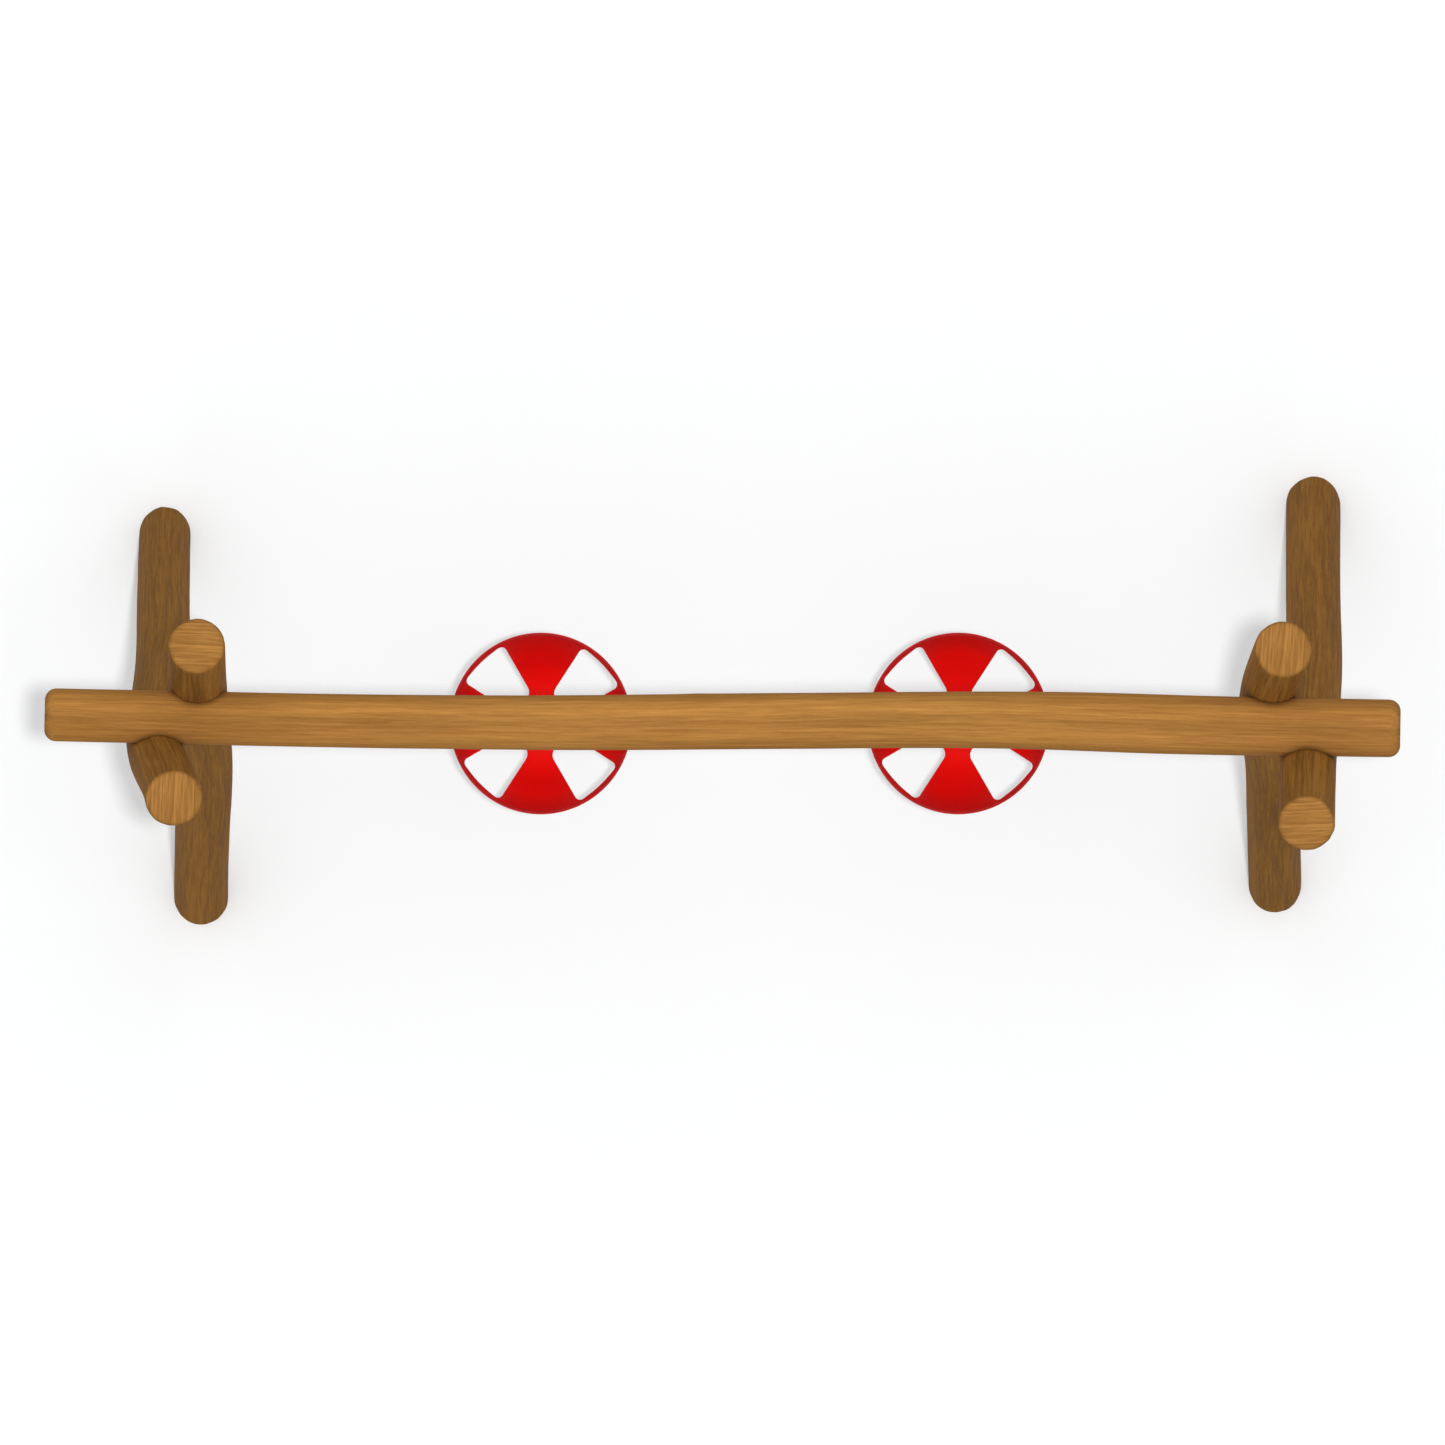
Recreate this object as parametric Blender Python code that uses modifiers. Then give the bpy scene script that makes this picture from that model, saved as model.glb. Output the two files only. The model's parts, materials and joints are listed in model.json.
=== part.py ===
"""Two-seat log swing: a crossbeam on two pairs of crossed log legs, with two hanging bucket seats.

Metres, +Z up. X runs along the crossbeam. The origin is on the ground, midway between the outermost
points of the crossbeam and of the feet. Each seat swings about its pivot bolts, and pitches about
its lower shackle pins.
"""

import math

import bmesh
import bpy
from mathutils import Matrix, Vector

# Clearance kept between touching pieces.
GAP = 0.0003
# How far the shapes of one solid run into each other, so that they unite.
OVERLAP = 0.001
# A fillet of this share of a half-width leaves a short flat, which keeps the outline simple.
NEARLY_ROUND = 0.94

# The swing axis runs along X, over this line on the ground.
AXIS_Y = -0.06785

# Crossbeam: (x, y from the swing axis, radius) along the log.
BEAM_Z = 2.40
BEAM_KNOTS = (
    (-2.00, 0.0266, 0.0780),
    (-1.42, 0.0133, 0.0785),
    (-1.00, 0.0060, 0.0800),
    (-0.50, 0.0020, 0.0812),
    (0.00, 0.0060, 0.0824),
    (0.50, 0.0110, 0.0826),
    (0.90, 0.0090, 0.0850),
    (1.20, 0.0010, 0.0876),
    (1.50, -0.0075, 0.0868),
    (2.00, -0.0147, 0.0855),
)
BEAM_END_ROUNDING = 0.034

# Legs: foot (x, y) on the ground and head (x, y, z), with y from the swing axis; the radius at the foot
# and at the head; and the log's sideways bends as (share of the way up, shift along X).
LEGS = {
    "left_rear_leg": dict(
        foot=(-1.645, 0.5605),
        head=(-1.618, -0.2240, 2.825),
        radii=(0.0750, 0.0850),
        bends=((0.25, -0.012), (0.50, -0.021), (0.79, -0.0535), (0.95, -0.008)),
    ),
    "left_front_leg": dict(
        foot=(-1.5385, -0.5103),
        head=(-1.5517, 0.2316, 2.790),
        radii=(0.0797, 0.0840),
        bends=((0.25, 0.006), (0.54, 0.018), (0.82, 0.0035)),
    ),
    "right_rear_leg": dict(
        foot=(1.742, 0.6446),
        head=(1.7228, -0.2980, 2.870),
        radii=(0.0797, 0.0840),
        bends=((0.28, 0.0055), (0.52, 0.014), (0.80, 0.002)),
    ),
    "right_front_leg": dict(
        foot=(1.630, -0.4780),
        head=(1.656, 0.2210, 2.740),
        radii=(0.0767, 0.0855),
        bends=((0.25, -0.010), (0.52, -0.0196), (0.69, -0.043), (0.825, -0.0395), (0.93, -0.018)),
    ),
}
# The pairs that cross: the leg on the -X side first.
CROSSINGS = {
    "left": ("left_rear_leg", "left_front_leg"),
    "right": ("right_front_leg", "right_rear_leg"),
}
HEAD_ROUNDING = 0.010
HALVING_HALF_HEIGHT = 0.24
# A leg is drawn from this share of its length below the ground, and cut off level.
SHARE_BELOW_GROUND = 0.04
LOG_SIDES = 16
LOG_RINGS_PER_SPAN = 2
# Curve points per span where a place on a log is measured.
MEASURING_STEPS = 60

# Bolts and screws of the frame. Widths of nuts and heads are across their flats.
CROSSING_BOLT_RADIUS = 0.010
CROSSING_BOLT_STAND_OUT = 0.026
CROSSING_WASHER_RADIUS = 0.022
CROSSING_NUT_WIDTH, CROSSING_NUT_HEIGHT = 0.030, 0.016
LEG_SCREW_RADIUS = 0.008
LEG_SCREW_WASHER_RADIUS = 0.017
LEG_SCREW_HEAD_WIDTH, LEG_SCREW_HEAD_HEIGHT = 0.024, 0.010
POCKET_DEPTH = 0.010
POCKET_MARGIN = 0.003
WASHER_THICKNESS = 0.003
LEG_SCREW_TIP_FROM_BEAM_CENTRE = 0.012

# Hanging points: where the four chains meet the crossbeam, each on a flat cut under the log.
PIVOT_HALF_SPACING = 0.311
FLAT_Z = BEAM_Z - 0.0735
PLATE_SIZE = (0.104, 0.060, 0.008)
# The flat is this much longer than the plate.
FLAT_MARGIN = 0.012
PIVOT_DROP = 0.042
PIVOT_Z = FLAT_Z - GAP - PLATE_SIZE[2] - PIVOT_DROP
EAR_INNER_X = 0.0203
EAR_THICKNESS = 0.008
EAR_RADIUS = 0.018
EAR_TOP_HALF_WIDTH = 0.026
PLATE_SCREW_X = 0.0405
PLATE_SCREW_RADIUS = 0.005
PLATE_SCREW_LENGTH = 0.070
PLATE_SCREW_HEAD_WIDTH, PLATE_SCREW_HEAD_HEIGHT = 0.016, 0.0065
PIVOT_BOLT_RADIUS = 0.006
PIVOT_BOLT_HEAD_WIDTH, PIVOT_BOLT_HEAD_HEIGHT = 0.018, 0.0075
PIVOT_NUT_HEIGHT = 0.010
PIVOT_BOLT_PAST_NUT = 0.003
BUSH_RADIUS = 0.010
HANGER_RADIUS = 0.016
LUG_TOP_HALF_WIDTH, LUG_TOP_DROP = 0.016, 0.006
LUG_THICKNESS = 0.008
LUG_RADIUS = 0.015
LUG_DROP = 0.037
LUG_HOLE_RADIUS = 0.0065

# Quick links, between the hangers and the chains, and shackles, between the chains and the bows.
LINK_ROD_RADIUS = 0.004
LINK_HALF_WIDTH = 0.0115
LINK_LENGTH = 0.040
SLEEVE_NUT_WIDTH = 0.011
SHACKLE_ROD_RADIUS = 0.004
SHACKLE_LEG_OFFSET = 0.0095
SHACKLE_LENGTH = 0.034
SHACKLE_EYE_RADIUS = 0.009
SHACKLE_PIN_RADIUS = 0.004
SHACKLE_COLLAR_RADIUS = 0.0065
SHACKLE_COLLAR_THICKNESS = 0.004
SHACKLE_PIN_PAST_EYE = 0.002

# Seats.
SEAT_X = {"left": -0.536, "right": 0.696}
RIM_Z = 0.690
BOWL_DEPTH = 0.250
BOWL_RIM_RADIUS = 0.2578
BOWL_POWER = 2.7
BOWL_THICKNESS = 0.005
BOWL_STEPS = 32
BOWL_ROWS = 8
LIP_RADIUS = 0.268
LIP_THICKNESS = 0.004
LIP_CHAMFER = 0.0012
# Where the wall's outer face meets the lip, inwards of the wall's own line.
LIP_CORNER = 0.0016
HOOP_ROD_RADIUS = 0.0042
# One of the four openings in plan: its corners, from the hub outwards and back, and their fillets.
# The middle one bows the outer edge.
OPENING_CORNERS = (
    (0.0294, 0.0859),
    (0.1169, 0.2284),
    (0.1788, 0.1788),
    (0.2284, 0.1169),
    (0.0859, 0.0294),
)
OPENING_FILLETS = (0.028, 0.016, 0.35, 0.016, 0.028)
OPENING_TURN = math.radians(-1.5)

# Bows: the bent rods that carry a bowl. The eye is (outwards from the seat's centre, height).
BOW_EYE = (0.275, 0.845)
BOW_ROD_RADIUS = 0.0048
BOW_EYE_RADIUS = 0.010
BOW_EYE_HALF_WIDTH = 0.005
BOW_EYE_HOLE_RADIUS = 0.0046
BOW_FOOT_Y = 0.0595
# An arm's bends down from the eye: (outwards from the eye, aside, below the eye).
BOW_ARM_BENDS = ((0.0, 0.005, 0.007), (0.0, 0.044, 0.095), (-0.001, BOW_FOOT_Y, 0.142))
# Then past the lip: (outwards from the eye, below the rim).
BOW_ARM_AT_LIP = (-0.008, 0.013)
# Then onto its tab: each (below the rim, off the wall).
BOW_ARM_ON_WALL = ((0.038, 0.0085), (0.051, 0.0062))
TAB_SIZE = (0.022, 0.044, 0.005)
TAB_STAND_OFF = 0.0006
TAB_BELOW_RIM = 0.050
RIVET_BELOW_RIM = 0.061
RIVET_RADIUS = 0.004
RIVET_STAND_OFF = 0.0019
RIVET_HEAD_RADIUS, RIVET_HEAD_HEIGHT = 0.0085, 0.0030
RIVET_SET_END_RADIUS, RIVET_SET_END_HEIGHT = 0.0065, 0.0030

# A bar of this radius weighs about as much as the short-link chain it stands for.
CHAIN_RADIUS = 0.0057

LOG_BROWN = (0.42, 0.20, 0.05, 1.0)
STEEL_GREY = (0.55, 0.56, 0.57, 1.0)
SEAT_RED = (0.70, 0.008, 0.006, 1.0)
BUSH_BLACK = (0.02, 0.02, 0.022, 1.0)

ALONG_X = Vector((1.0, 0.0, 0.0))


# ---------------------------------------------------------------- scene, materials and objects


def clear_scene():
    for obj in list(bpy.data.objects):
        bpy.data.objects.remove(obj, do_unlink=True)


def make_collection(name):
    collection = bpy.data.collections.new(name)
    bpy.context.scene.collection.children.link(collection)
    return collection


def make_material(name, colour, roughness, metallic):
    material = bpy.data.materials.new(name)
    material.use_nodes = True
    shader = material.node_tree.nodes["Principled BSDF"]
    shader.inputs["Base Color"].default_value = colour
    shader.inputs["Roughness"].default_value = roughness
    shader.inputs["Metallic"].default_value = metallic
    material.diffuse_color = colour
    return material


def mesh_object(name, mesh, matrix=None):
    obj = bpy.data.objects.new(name, mesh)
    SWING.objects.link(obj)
    if matrix is not None:
        obj.matrix_world = matrix
    return obj


def evaluated_mesh(obj):
    """The object's mesh with its modifiers applied, welded and facing out."""
    bpy.context.view_layer.update()
    mesh = bpy.data.meshes.new_from_object(obj.evaluated_get(bpy.context.evaluated_depsgraph_get()))
    welded = bmesh.new()
    welded.from_mesh(mesh)
    bmesh.ops.remove_doubles(welded, verts=welded.verts, dist=1e-6)
    bmesh.ops.recalc_face_normals(welded, faces=welded.faces)
    welded.to_mesh(mesh)
    welded.free()
    return mesh


def applied(obj):
    """Replaces a curve or a modified object with a plain mesh object in the same place."""
    mesh = evaluated_mesh(obj)
    result = mesh_object(obj.name + "_solid", mesh, obj.matrix_world.copy())
    bpy.data.objects.remove(obj, do_unlink=True)
    return result


def combined(base, others, operation):
    for other in others:
        modifier = base.modifiers.new(operation.lower(), "BOOLEAN")
        modifier.operation = operation
        modifier.solver = "EXACT"
        modifier.object = other
    result = applied(base)
    for other in others:
        bpy.data.objects.remove(other, do_unlink=True)
    return result


def joined(base, *others):
    return combined(base, others, "UNION")


def cut(base, *cutters):
    return combined(base, cutters, "DIFFERENCE")


def finished(obj, name, material):
    """Names a solid, gives it its material and shades its round faces smooth."""
    obj.name = name
    obj.data.name = name
    obj.data.materials.clear()
    obj.data.materials.append(material)
    obj.data.shade_smooth()
    obj.data.set_sharp_from_angle(angle=math.radians(32))
    return obj


def copied(master, name, matrix):
    """Another object with the master's mesh."""
    return mesh_object(name, master.data, matrix)


def joint_empty(name, location):
    empty = bpy.data.objects.new(name, None)
    empty.location = location
    SWING.objects.link(empty)
    bpy.context.view_layer.update()
    return empty


def ride(obj, empty):
    """Parents an object to a joint's empty, and leaves it where it is."""
    world = obj.matrix_world.copy()
    obj.parent = empty
    obj.matrix_parent_inverse = empty.matrix_world.inverted()
    obj.matrix_world = world


# ---------------------------------------------------------------- shapes


def pointing(origin, direction):
    """A matrix at origin whose Z runs along direction."""
    turn = Vector(direction).to_track_quat("Z", "Y").to_matrix().to_4x4()
    return Matrix.Translation(origin) @ turn


def box(name, size, centre):
    shape = bmesh.new()
    bmesh.ops.create_cube(shape, size=1.0, matrix=Matrix.Diagonal((*size, 1.0)))
    mesh = bpy.data.meshes.new(name)
    shape.to_mesh(mesh)
    shape.free()
    return mesh_object(name, mesh, Matrix.Translation(centre))


def prism(name, start, end, radius, sides=12):
    """A round bar, or a hexagon with six sides, from start to end."""
    start, end = Vector(start), Vector(end)
    length = (end - start).length
    shape = bmesh.new()
    bmesh.ops.create_cone(
        shape, cap_ends=True, segments=sides, radius1=radius, radius2=radius, depth=length
    )
    mesh = bpy.data.meshes.new(name)
    shape.to_mesh(mesh)
    shape.free()
    return mesh_object(name, mesh, pointing((start + end) / 2, end - start))


def turned(name, profile, steps, matrix=None, ring=False):
    """A solid of revolution about Z. The (radius, height) profile runs down its outer side."""
    mesh = bpy.data.meshes.new(name)
    links = [(i, i + 1) for i in range(len(profile) - 1)]
    if ring:
        links.append((len(profile) - 1, 0))
    mesh.from_pydata([(radius, 0.0, height) for radius, height in profile], links, [])
    obj = mesh_object(name, mesh, matrix)
    screw = obj.modifiers.new("turn", "SCREW")
    screw.steps = screw.render_steps = steps
    screw.use_merge_vertices = True
    screw.merge_threshold = 1e-5
    return applied(obj)


def arc(centre, radius, start, end, steps):
    """Points of an arc in a plane, both ends included, with its angles in radians."""
    angles = [start + (end - start) * step / steps for step in range(steps + 1)]
    return [(centre[0] + radius * math.cos(a), centre[1] + radius * math.sin(a)) for a in angles]


def filleted(corners, fillets, steps=3):
    """The outline through the corners, with each corner rounded to its fillet."""
    outline = []
    for i, (corner, fillet) in enumerate(zip(corners, fillets)):
        here = Vector(corner)
        back = (Vector(corners[i - 1]) - here).normalized()
        ahead = (Vector(corners[(i + 1) % len(corners)]) - here).normalized()
        if fillet == 0:
            outline.append(tuple(here))
            continue
        half_angle = back.angle(ahead) / 2
        centre = here + (back + ahead).normalized() * fillet / math.sin(half_angle)
        first = here + back * fillet / math.tan(half_angle) - centre
        turn = first.angle_signed(here + ahead * fillet / math.tan(half_angle) - centre)
        start = math.atan2(first.y, first.x)
        outline += arc(centre, fillet, start, start - turn, steps)
    return outline


def slab(name, outline, thickness, matrix):
    """A flat plate: the outline in the matrix's XY plane, with its thickness centred on it."""
    curve = bpy.data.curves.new(name, "CURVE")
    curve.dimensions = "2D"
    curve.fill_mode = "BOTH"
    curve.extrude = thickness / 2
    spline = curve.splines.new("POLY")
    spline.points.add(len(outline) - 1)
    for point, (x, y) in zip(spline.points, outline):
        point.co = (x, y, 0.0, 1.0)
    spline.use_cyclic_u = True
    return applied(mesh_object(name, curve, matrix))


def tube(name, rings, sides, closed=False):
    """A round bar along the ring centres, each ring a Vector (x, y, z, radius)."""
    curve = bpy.data.curves.new(name, "CURVE")
    curve.dimensions = "3D"
    curve.bevel_depth = 1.0
    curve.bevel_resolution = sides // 2 - 2
    curve.use_fill_caps = True
    spline = curve.splines.new("POLY")
    spline.points.add(len(rings) - 1)
    for point, ring in zip(spline.points, rings):
        point.co = (*ring.xyz, 1.0)
        point.radius = ring.w
    spline.use_cyclic_u = closed
    return applied(mesh_object(name, curve))


def smooth_through(knots, per_span):
    """Points on one smooth curve through the knots (a Catmull-Rom curve), the knots included."""
    held = [2 * knots[0] - knots[1], *knots, 2 * knots[-1] - knots[-2]]
    points = []
    for before, start, end, after in zip(held, held[1:], held[2:], held[3:]):
        for step in range(per_span):
            t = step / per_span
            pull = (end - before) * t
            bend = (2 * before - 5 * start + 4 * end - after) * t**2
            twist = (3 * start - before - 3 * end + after) * t**3
            points.append((2 * start + pull + bend + twist) / 2)
    return [*points, knots[-1].copy()]


def rounded_end(rings, rounding, steps=3):
    """Rounds the edge of the last ring of a bar, over the rounding's length."""
    tip = rings[-1]
    along = (rings[-1].xyz - rings[-2].xyz).normalized()
    kept = [ring for ring in rings if (ring.xyz - tip.xyz).length > rounding * 1.2]
    for step in range(steps + 1):
        angle = math.pi / 2 * step / steps
        centre = tip.xyz - along * rounding * (1 - math.sin(angle))
        kept.append(Vector((*centre, tip.w - rounding * (1 - math.cos(angle)))))
    return kept


# ---------------------------------------------------------------- logs


def beam_knots():
    return [Vector((x, AXIS_Y + y, BEAM_Z, r)) for x, y, r in BEAM_KNOTS]


def beam_rings(extra_radius=0.0):
    rings = smooth_through(beam_knots(), LOG_RINGS_PER_SPAN)
    rings = rounded_end(rings, BEAM_END_ROUNDING)
    rings = rounded_end(rings[::-1], BEAM_END_ROUNDING)[::-1]
    return [Vector((*ring.xyz, ring.w + extra_radius)) for ring in rings]


def leg_knots(leg):
    foot = Vector((leg["foot"][0], AXIS_Y + leg["foot"][1], 0.0, leg["radii"][0]))
    head = Vector((leg["head"][0], AXIS_Y + leg["head"][1], leg["head"][2], leg["radii"][1]))
    below_ground = foot + (foot - head) * SHARE_BELOW_GROUND
    knots = [below_ground, foot]
    for share, shift in leg["bends"]:
        knots.append(foot.lerp(head, share) + Vector((shift, 0.0, 0.0, 0.0)))
    return [*knots, head]


def leg_rings(leg):
    return rounded_end(smooth_through(leg_knots(leg), LOG_RINGS_PER_SPAN), HEAD_ROUNDING)


def crossing(pair):
    """Where two legs cross in the YZ plane: the middle point between them, and the two ring centres."""
    first, second = (
        smooth_through(leg_knots(LEGS[name]), MEASURING_STEPS) for name in CROSSINGS[pair]
    )
    near = [(a, b) for a in first for b in second if abs(a.z - b.z) < 0.01]
    a, b = min(near, key=lambda ends: abs(ends[0].y - ends[1].y) + abs(ends[0].z - ends[1].z))
    plane_x = (a.x + a.w + b.x - b.w) / 2
    return Vector((plane_x, (a.y + b.y) / 2, (a.z + b.z) / 2)), a, b


def leg_screw_line(name):
    """(Ring centre on the leg, direction to the beam, distance to the beam's centre line)."""
    beam = smooth_through(beam_knots(), MEASURING_STEPS)
    best = None
    for ring in smooth_through(leg_knots(LEGS[name]), MEASURING_STEPS):
        centre = min(beam, key=lambda point: abs(point.x - ring.x))
        apart = Vector((0.0, centre.y - ring.y, centre.z - ring.z))
        if best is None or apart.length < best[2]:
            best = (ring, apart.normalized(), apart.length)
    return best


def drill(name, outer, inner, shank_radius, washer_radius):
    """A cutter for a shank from outer to inner, with a flat pocket for the washer at outer."""
    outer, inner = Vector(outer), Vector(inner)
    along = (inner - outer).normalized()
    length = (inner - outer).length
    pocket = washer_radius + POCKET_MARGIN
    bore = shank_radius + GAP
    profile = [(0, length), (bore, length), (bore, 0), (pocket, 0), (pocket, -0.08), (0, -0.08)]
    return turned(name, profile, 12, pointing(outer, along))


def crossing_bolt_ends(pair):
    """The two pocket floors of a crossing bolt, on the -X leg and on the +X leg."""
    middle, first, second = crossing(pair)
    left = Vector((first.x - first.w + POCKET_DEPTH, middle.y, middle.z))
    right = Vector((second.x + second.w - POCKET_DEPTH, middle.y, middle.z))
    return left, right


def leg_screw_ends(name):
    """The pocket floor on the leg's outer side, and the tip inside the beam."""
    ring, to_beam, distance = leg_screw_line(name)
    floor = ring.xyz - to_beam * (ring.w - POCKET_DEPTH)
    tip = ring.xyz + to_beam * (distance - LEG_SCREW_TIP_FROM_BEAM_CENTRE)
    return floor, tip


def make_legs(material):
    for pair, names in CROSSINGS.items():
        middle = crossing(pair)[0]
        left_floor, right_floor = crossing_bolt_ends(pair)
        for side, name in zip((-1, 1), names):
            leg = tube(name, leg_rings(LEGS[name]), LOG_SIDES)
            ground = box("ground", (1.0, 1.0, 0.4), (*leg_knots(LEGS[name])[1].xy, -0.2))
            halving = box(
                "halving",
                (0.2, 0.5, 2 * HALVING_HALF_HEIGHT),
                middle - side * ALONG_X * (0.1 - GAP / 2),
            )
            saddle = tube("saddle", beam_rings(GAP), LOG_SIDES)
            floor = left_floor if side < 0 else right_floor
            bolt_hole = drill(
                "bolt_hole",
                floor,
                floor - side * ALONG_X * 0.3,
                CROSSING_BOLT_RADIUS,
                CROSSING_WASHER_RADIUS,
            )
            screw_hole = drill(
                "screw_hole", *leg_screw_ends(name), LEG_SCREW_RADIUS, LEG_SCREW_WASHER_RADIUS
            )
            leg = cut(leg, ground, halving, saddle, bolt_hole, screw_hole)
            finished(leg, name, material)


def make_crossbeam(material):
    beam = tube("crossbeam", beam_rings(), LOG_SIDES)
    cutters = []
    for x in hanging_points().values():
        size = (PLATE_SIZE[0] + FLAT_MARGIN, 0.2, 0.1)
        cutters.append(box("flat", size, (x, AXIS_Y, FLAT_Z - size[2] / 2)))
        for screw_x in (x - PLATE_SCREW_X, x + PLATE_SCREW_X):
            top = FLAT_Z + PLATE_SCREW_LENGTH
            start, end = (screw_x, AXIS_Y, FLAT_Z - 0.05), (screw_x, AXIS_Y, top)
            cutters.append(prism("pilot_hole", start, end, PLATE_SCREW_RADIUS + GAP))
    for name in LEGS:
        floor, tip = leg_screw_ends(name)
        past_tip = tip + (tip - floor).normalized() * GAP
        cutters.append(prism("pilot_hole", floor, past_tip, LEG_SCREW_RADIUS + GAP))
    finished(cut(beam, *cutters), "crossbeam", material)


# ---------------------------------------------------------------- fasteners of the frame


def hexagon(name, start, end, width_across_flats):
    return prism(name, start, end, width_across_flats / math.sqrt(3), sides=6)


def make_crossing_bolts(material):
    """A threaded rod through both legs, with a washer and a nut at each end."""
    for pair in CROSSINGS:
        left, right = crossing_bolt_ends(pair)
        stand_out = ALONG_X * CROSSING_BOLT_STAND_OUT
        rod = prism("rod", left - stand_out, right + stand_out, CROSSING_BOLT_RADIUS)
        fittings = []
        for floor, out in ((left, -ALONG_X), (right, ALONG_X)):
            face = floor + out * GAP
            washer_top = face + out * WASHER_THICKNESS
            fittings.append(prism("washer", face, washer_top, CROSSING_WASHER_RADIUS))
            nut_ends = washer_top - out * OVERLAP, washer_top + out * CROSSING_NUT_HEIGHT
            fittings.append(hexagon("nut", *nut_ends, CROSSING_NUT_WIDTH))
        finished(joined(rod, *fittings), pair + "_crossing_bolt", material)


def make_leg_screws(material):
    """A coach screw with its washer, from each leg's outer side into the beam."""
    for name in LEGS:
        floor, tip = leg_screw_ends(name)
        inwards = (tip - floor).normalized()
        face = floor - inwards * GAP
        washer_top = face - inwards * WASHER_THICKNESS
        head_top = washer_top - inwards * LEG_SCREW_HEAD_HEIGHT
        shank_ends = head_top + inwards * 2 * OVERLAP, tip - inwards * GAP
        shank = prism("shank", *shank_ends, LEG_SCREW_RADIUS)
        washer = prism("washer", face, washer_top, LEG_SCREW_WASHER_RADIUS)
        head = hexagon("head", washer_top + inwards * OVERLAP, head_top, LEG_SCREW_HEAD_WIDTH)
        finished(joined(shank, washer, head), name + "_screw", material)


# ---------------------------------------------------------------- hanging points


def hanging_points():
    """The X of each hanging point, by the first part of its pieces' names."""
    points = {}
    for seat, seat_x in SEAT_X.items():
        points[seat + "_seat_left"] = seat_x - PIVOT_HALF_SPACING
        points[seat + "_seat_right"] = seat_x + PIVOT_HALF_SPACING
    return points


def bearing_bracket():
    """A plate with two ears, about the pivot's centre."""
    plate_bottom = PIVOT_DROP
    centre_z = plate_bottom + PLATE_SIZE[2] / 2
    plate = box("bearing_bracket", PLATE_SIZE, (0, 0, centre_z))
    side_on = Matrix(((0, 0, 1, 0), (1, 0, 0, 0), (0, 1, 0, 0), (0, 0, 0, 1)))
    ear_top = plate_bottom + 2 * OVERLAP
    corners = (
        (EAR_TOP_HALF_WIDTH, ear_top),
        (-EAR_TOP_HALF_WIDTH, ear_top),
        (-EAR_RADIUS, -EAR_RADIUS),
        (EAR_RADIUS, -EAR_RADIUS),
    )
    outline = filleted(corners, (0, 0, NEARLY_ROUND * EAR_RADIUS, NEARLY_ROUND * EAR_RADIUS))
    ears = []
    for side in (-1, 1):
        at = Matrix.Translation((side * (EAR_INNER_X + EAR_THICKNESS / 2), 0, 0))
        ears.append(slab("ear", outline, EAR_THICKNESS, at @ side_on))
    bracket = joined(plate, *ears)
    holes = [prism("hole", (-0.06, 0, 0), (0.06, 0, 0), PIVOT_BOLT_RADIUS + GAP)]
    for x in (-PLATE_SCREW_X, PLATE_SCREW_X):
        start, end = (x, 0, plate_bottom - 0.01), (x, 0, plate_bottom + 0.02)
        holes.append(prism("hole", start, end, PLATE_SCREW_RADIUS + GAP))
    return cut(bracket, *holes)


def bracket_screw():
    """A coach screw through the plate, about the pivot's centre."""
    face = PIVOT_DROP - GAP
    tip = PIVOT_DROP + PLATE_SIZE[2] + PLATE_SCREW_LENGTH - GAP
    head_end = face - PLATE_SCREW_HEAD_HEIGHT
    shank = prism("shank", (0, 0, head_end + 2 * OVERLAP), (0, 0, tip), PLATE_SCREW_RADIUS)
    return joined(shank, hexagon("head", (0, 0, head_end), (0, 0, face), PLATE_SCREW_HEAD_WIDTH))


def pivot_bolt():
    face = EAR_INNER_X + EAR_THICKNESS + GAP
    head_end, nut_end = -face - PIVOT_BOLT_HEAD_HEIGHT, face + PIVOT_NUT_HEIGHT
    shank_ends = (-face - 2 * OVERLAP, 0, 0), (nut_end + PIVOT_BOLT_PAST_NUT, 0, 0)
    shank = prism("shank", *shank_ends, PIVOT_BOLT_RADIUS)
    head = hexagon("head", (head_end, 0, 0), (-face, 0, 0), PIVOT_BOLT_HEAD_WIDTH)
    nut = hexagon("nut", (face, 0, 0), (nut_end, 0, 0), PIVOT_BOLT_HEAD_WIDTH)
    return joined(shank, head, nut)


def bearing_bush():
    """A plain sleeve on the pivot bolt, as long as the space between the ears."""
    bore = PIVOT_BOLT_RADIUS + GAP
    end = EAR_INNER_X - GAP
    profile = [(bore, end), (BUSH_RADIUS, end), (BUSH_RADIUS, -end), (bore, -end)]
    return turned("bush", profile, 16, pointing((0, 0, 0), ALONG_X), ring=True)


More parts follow.
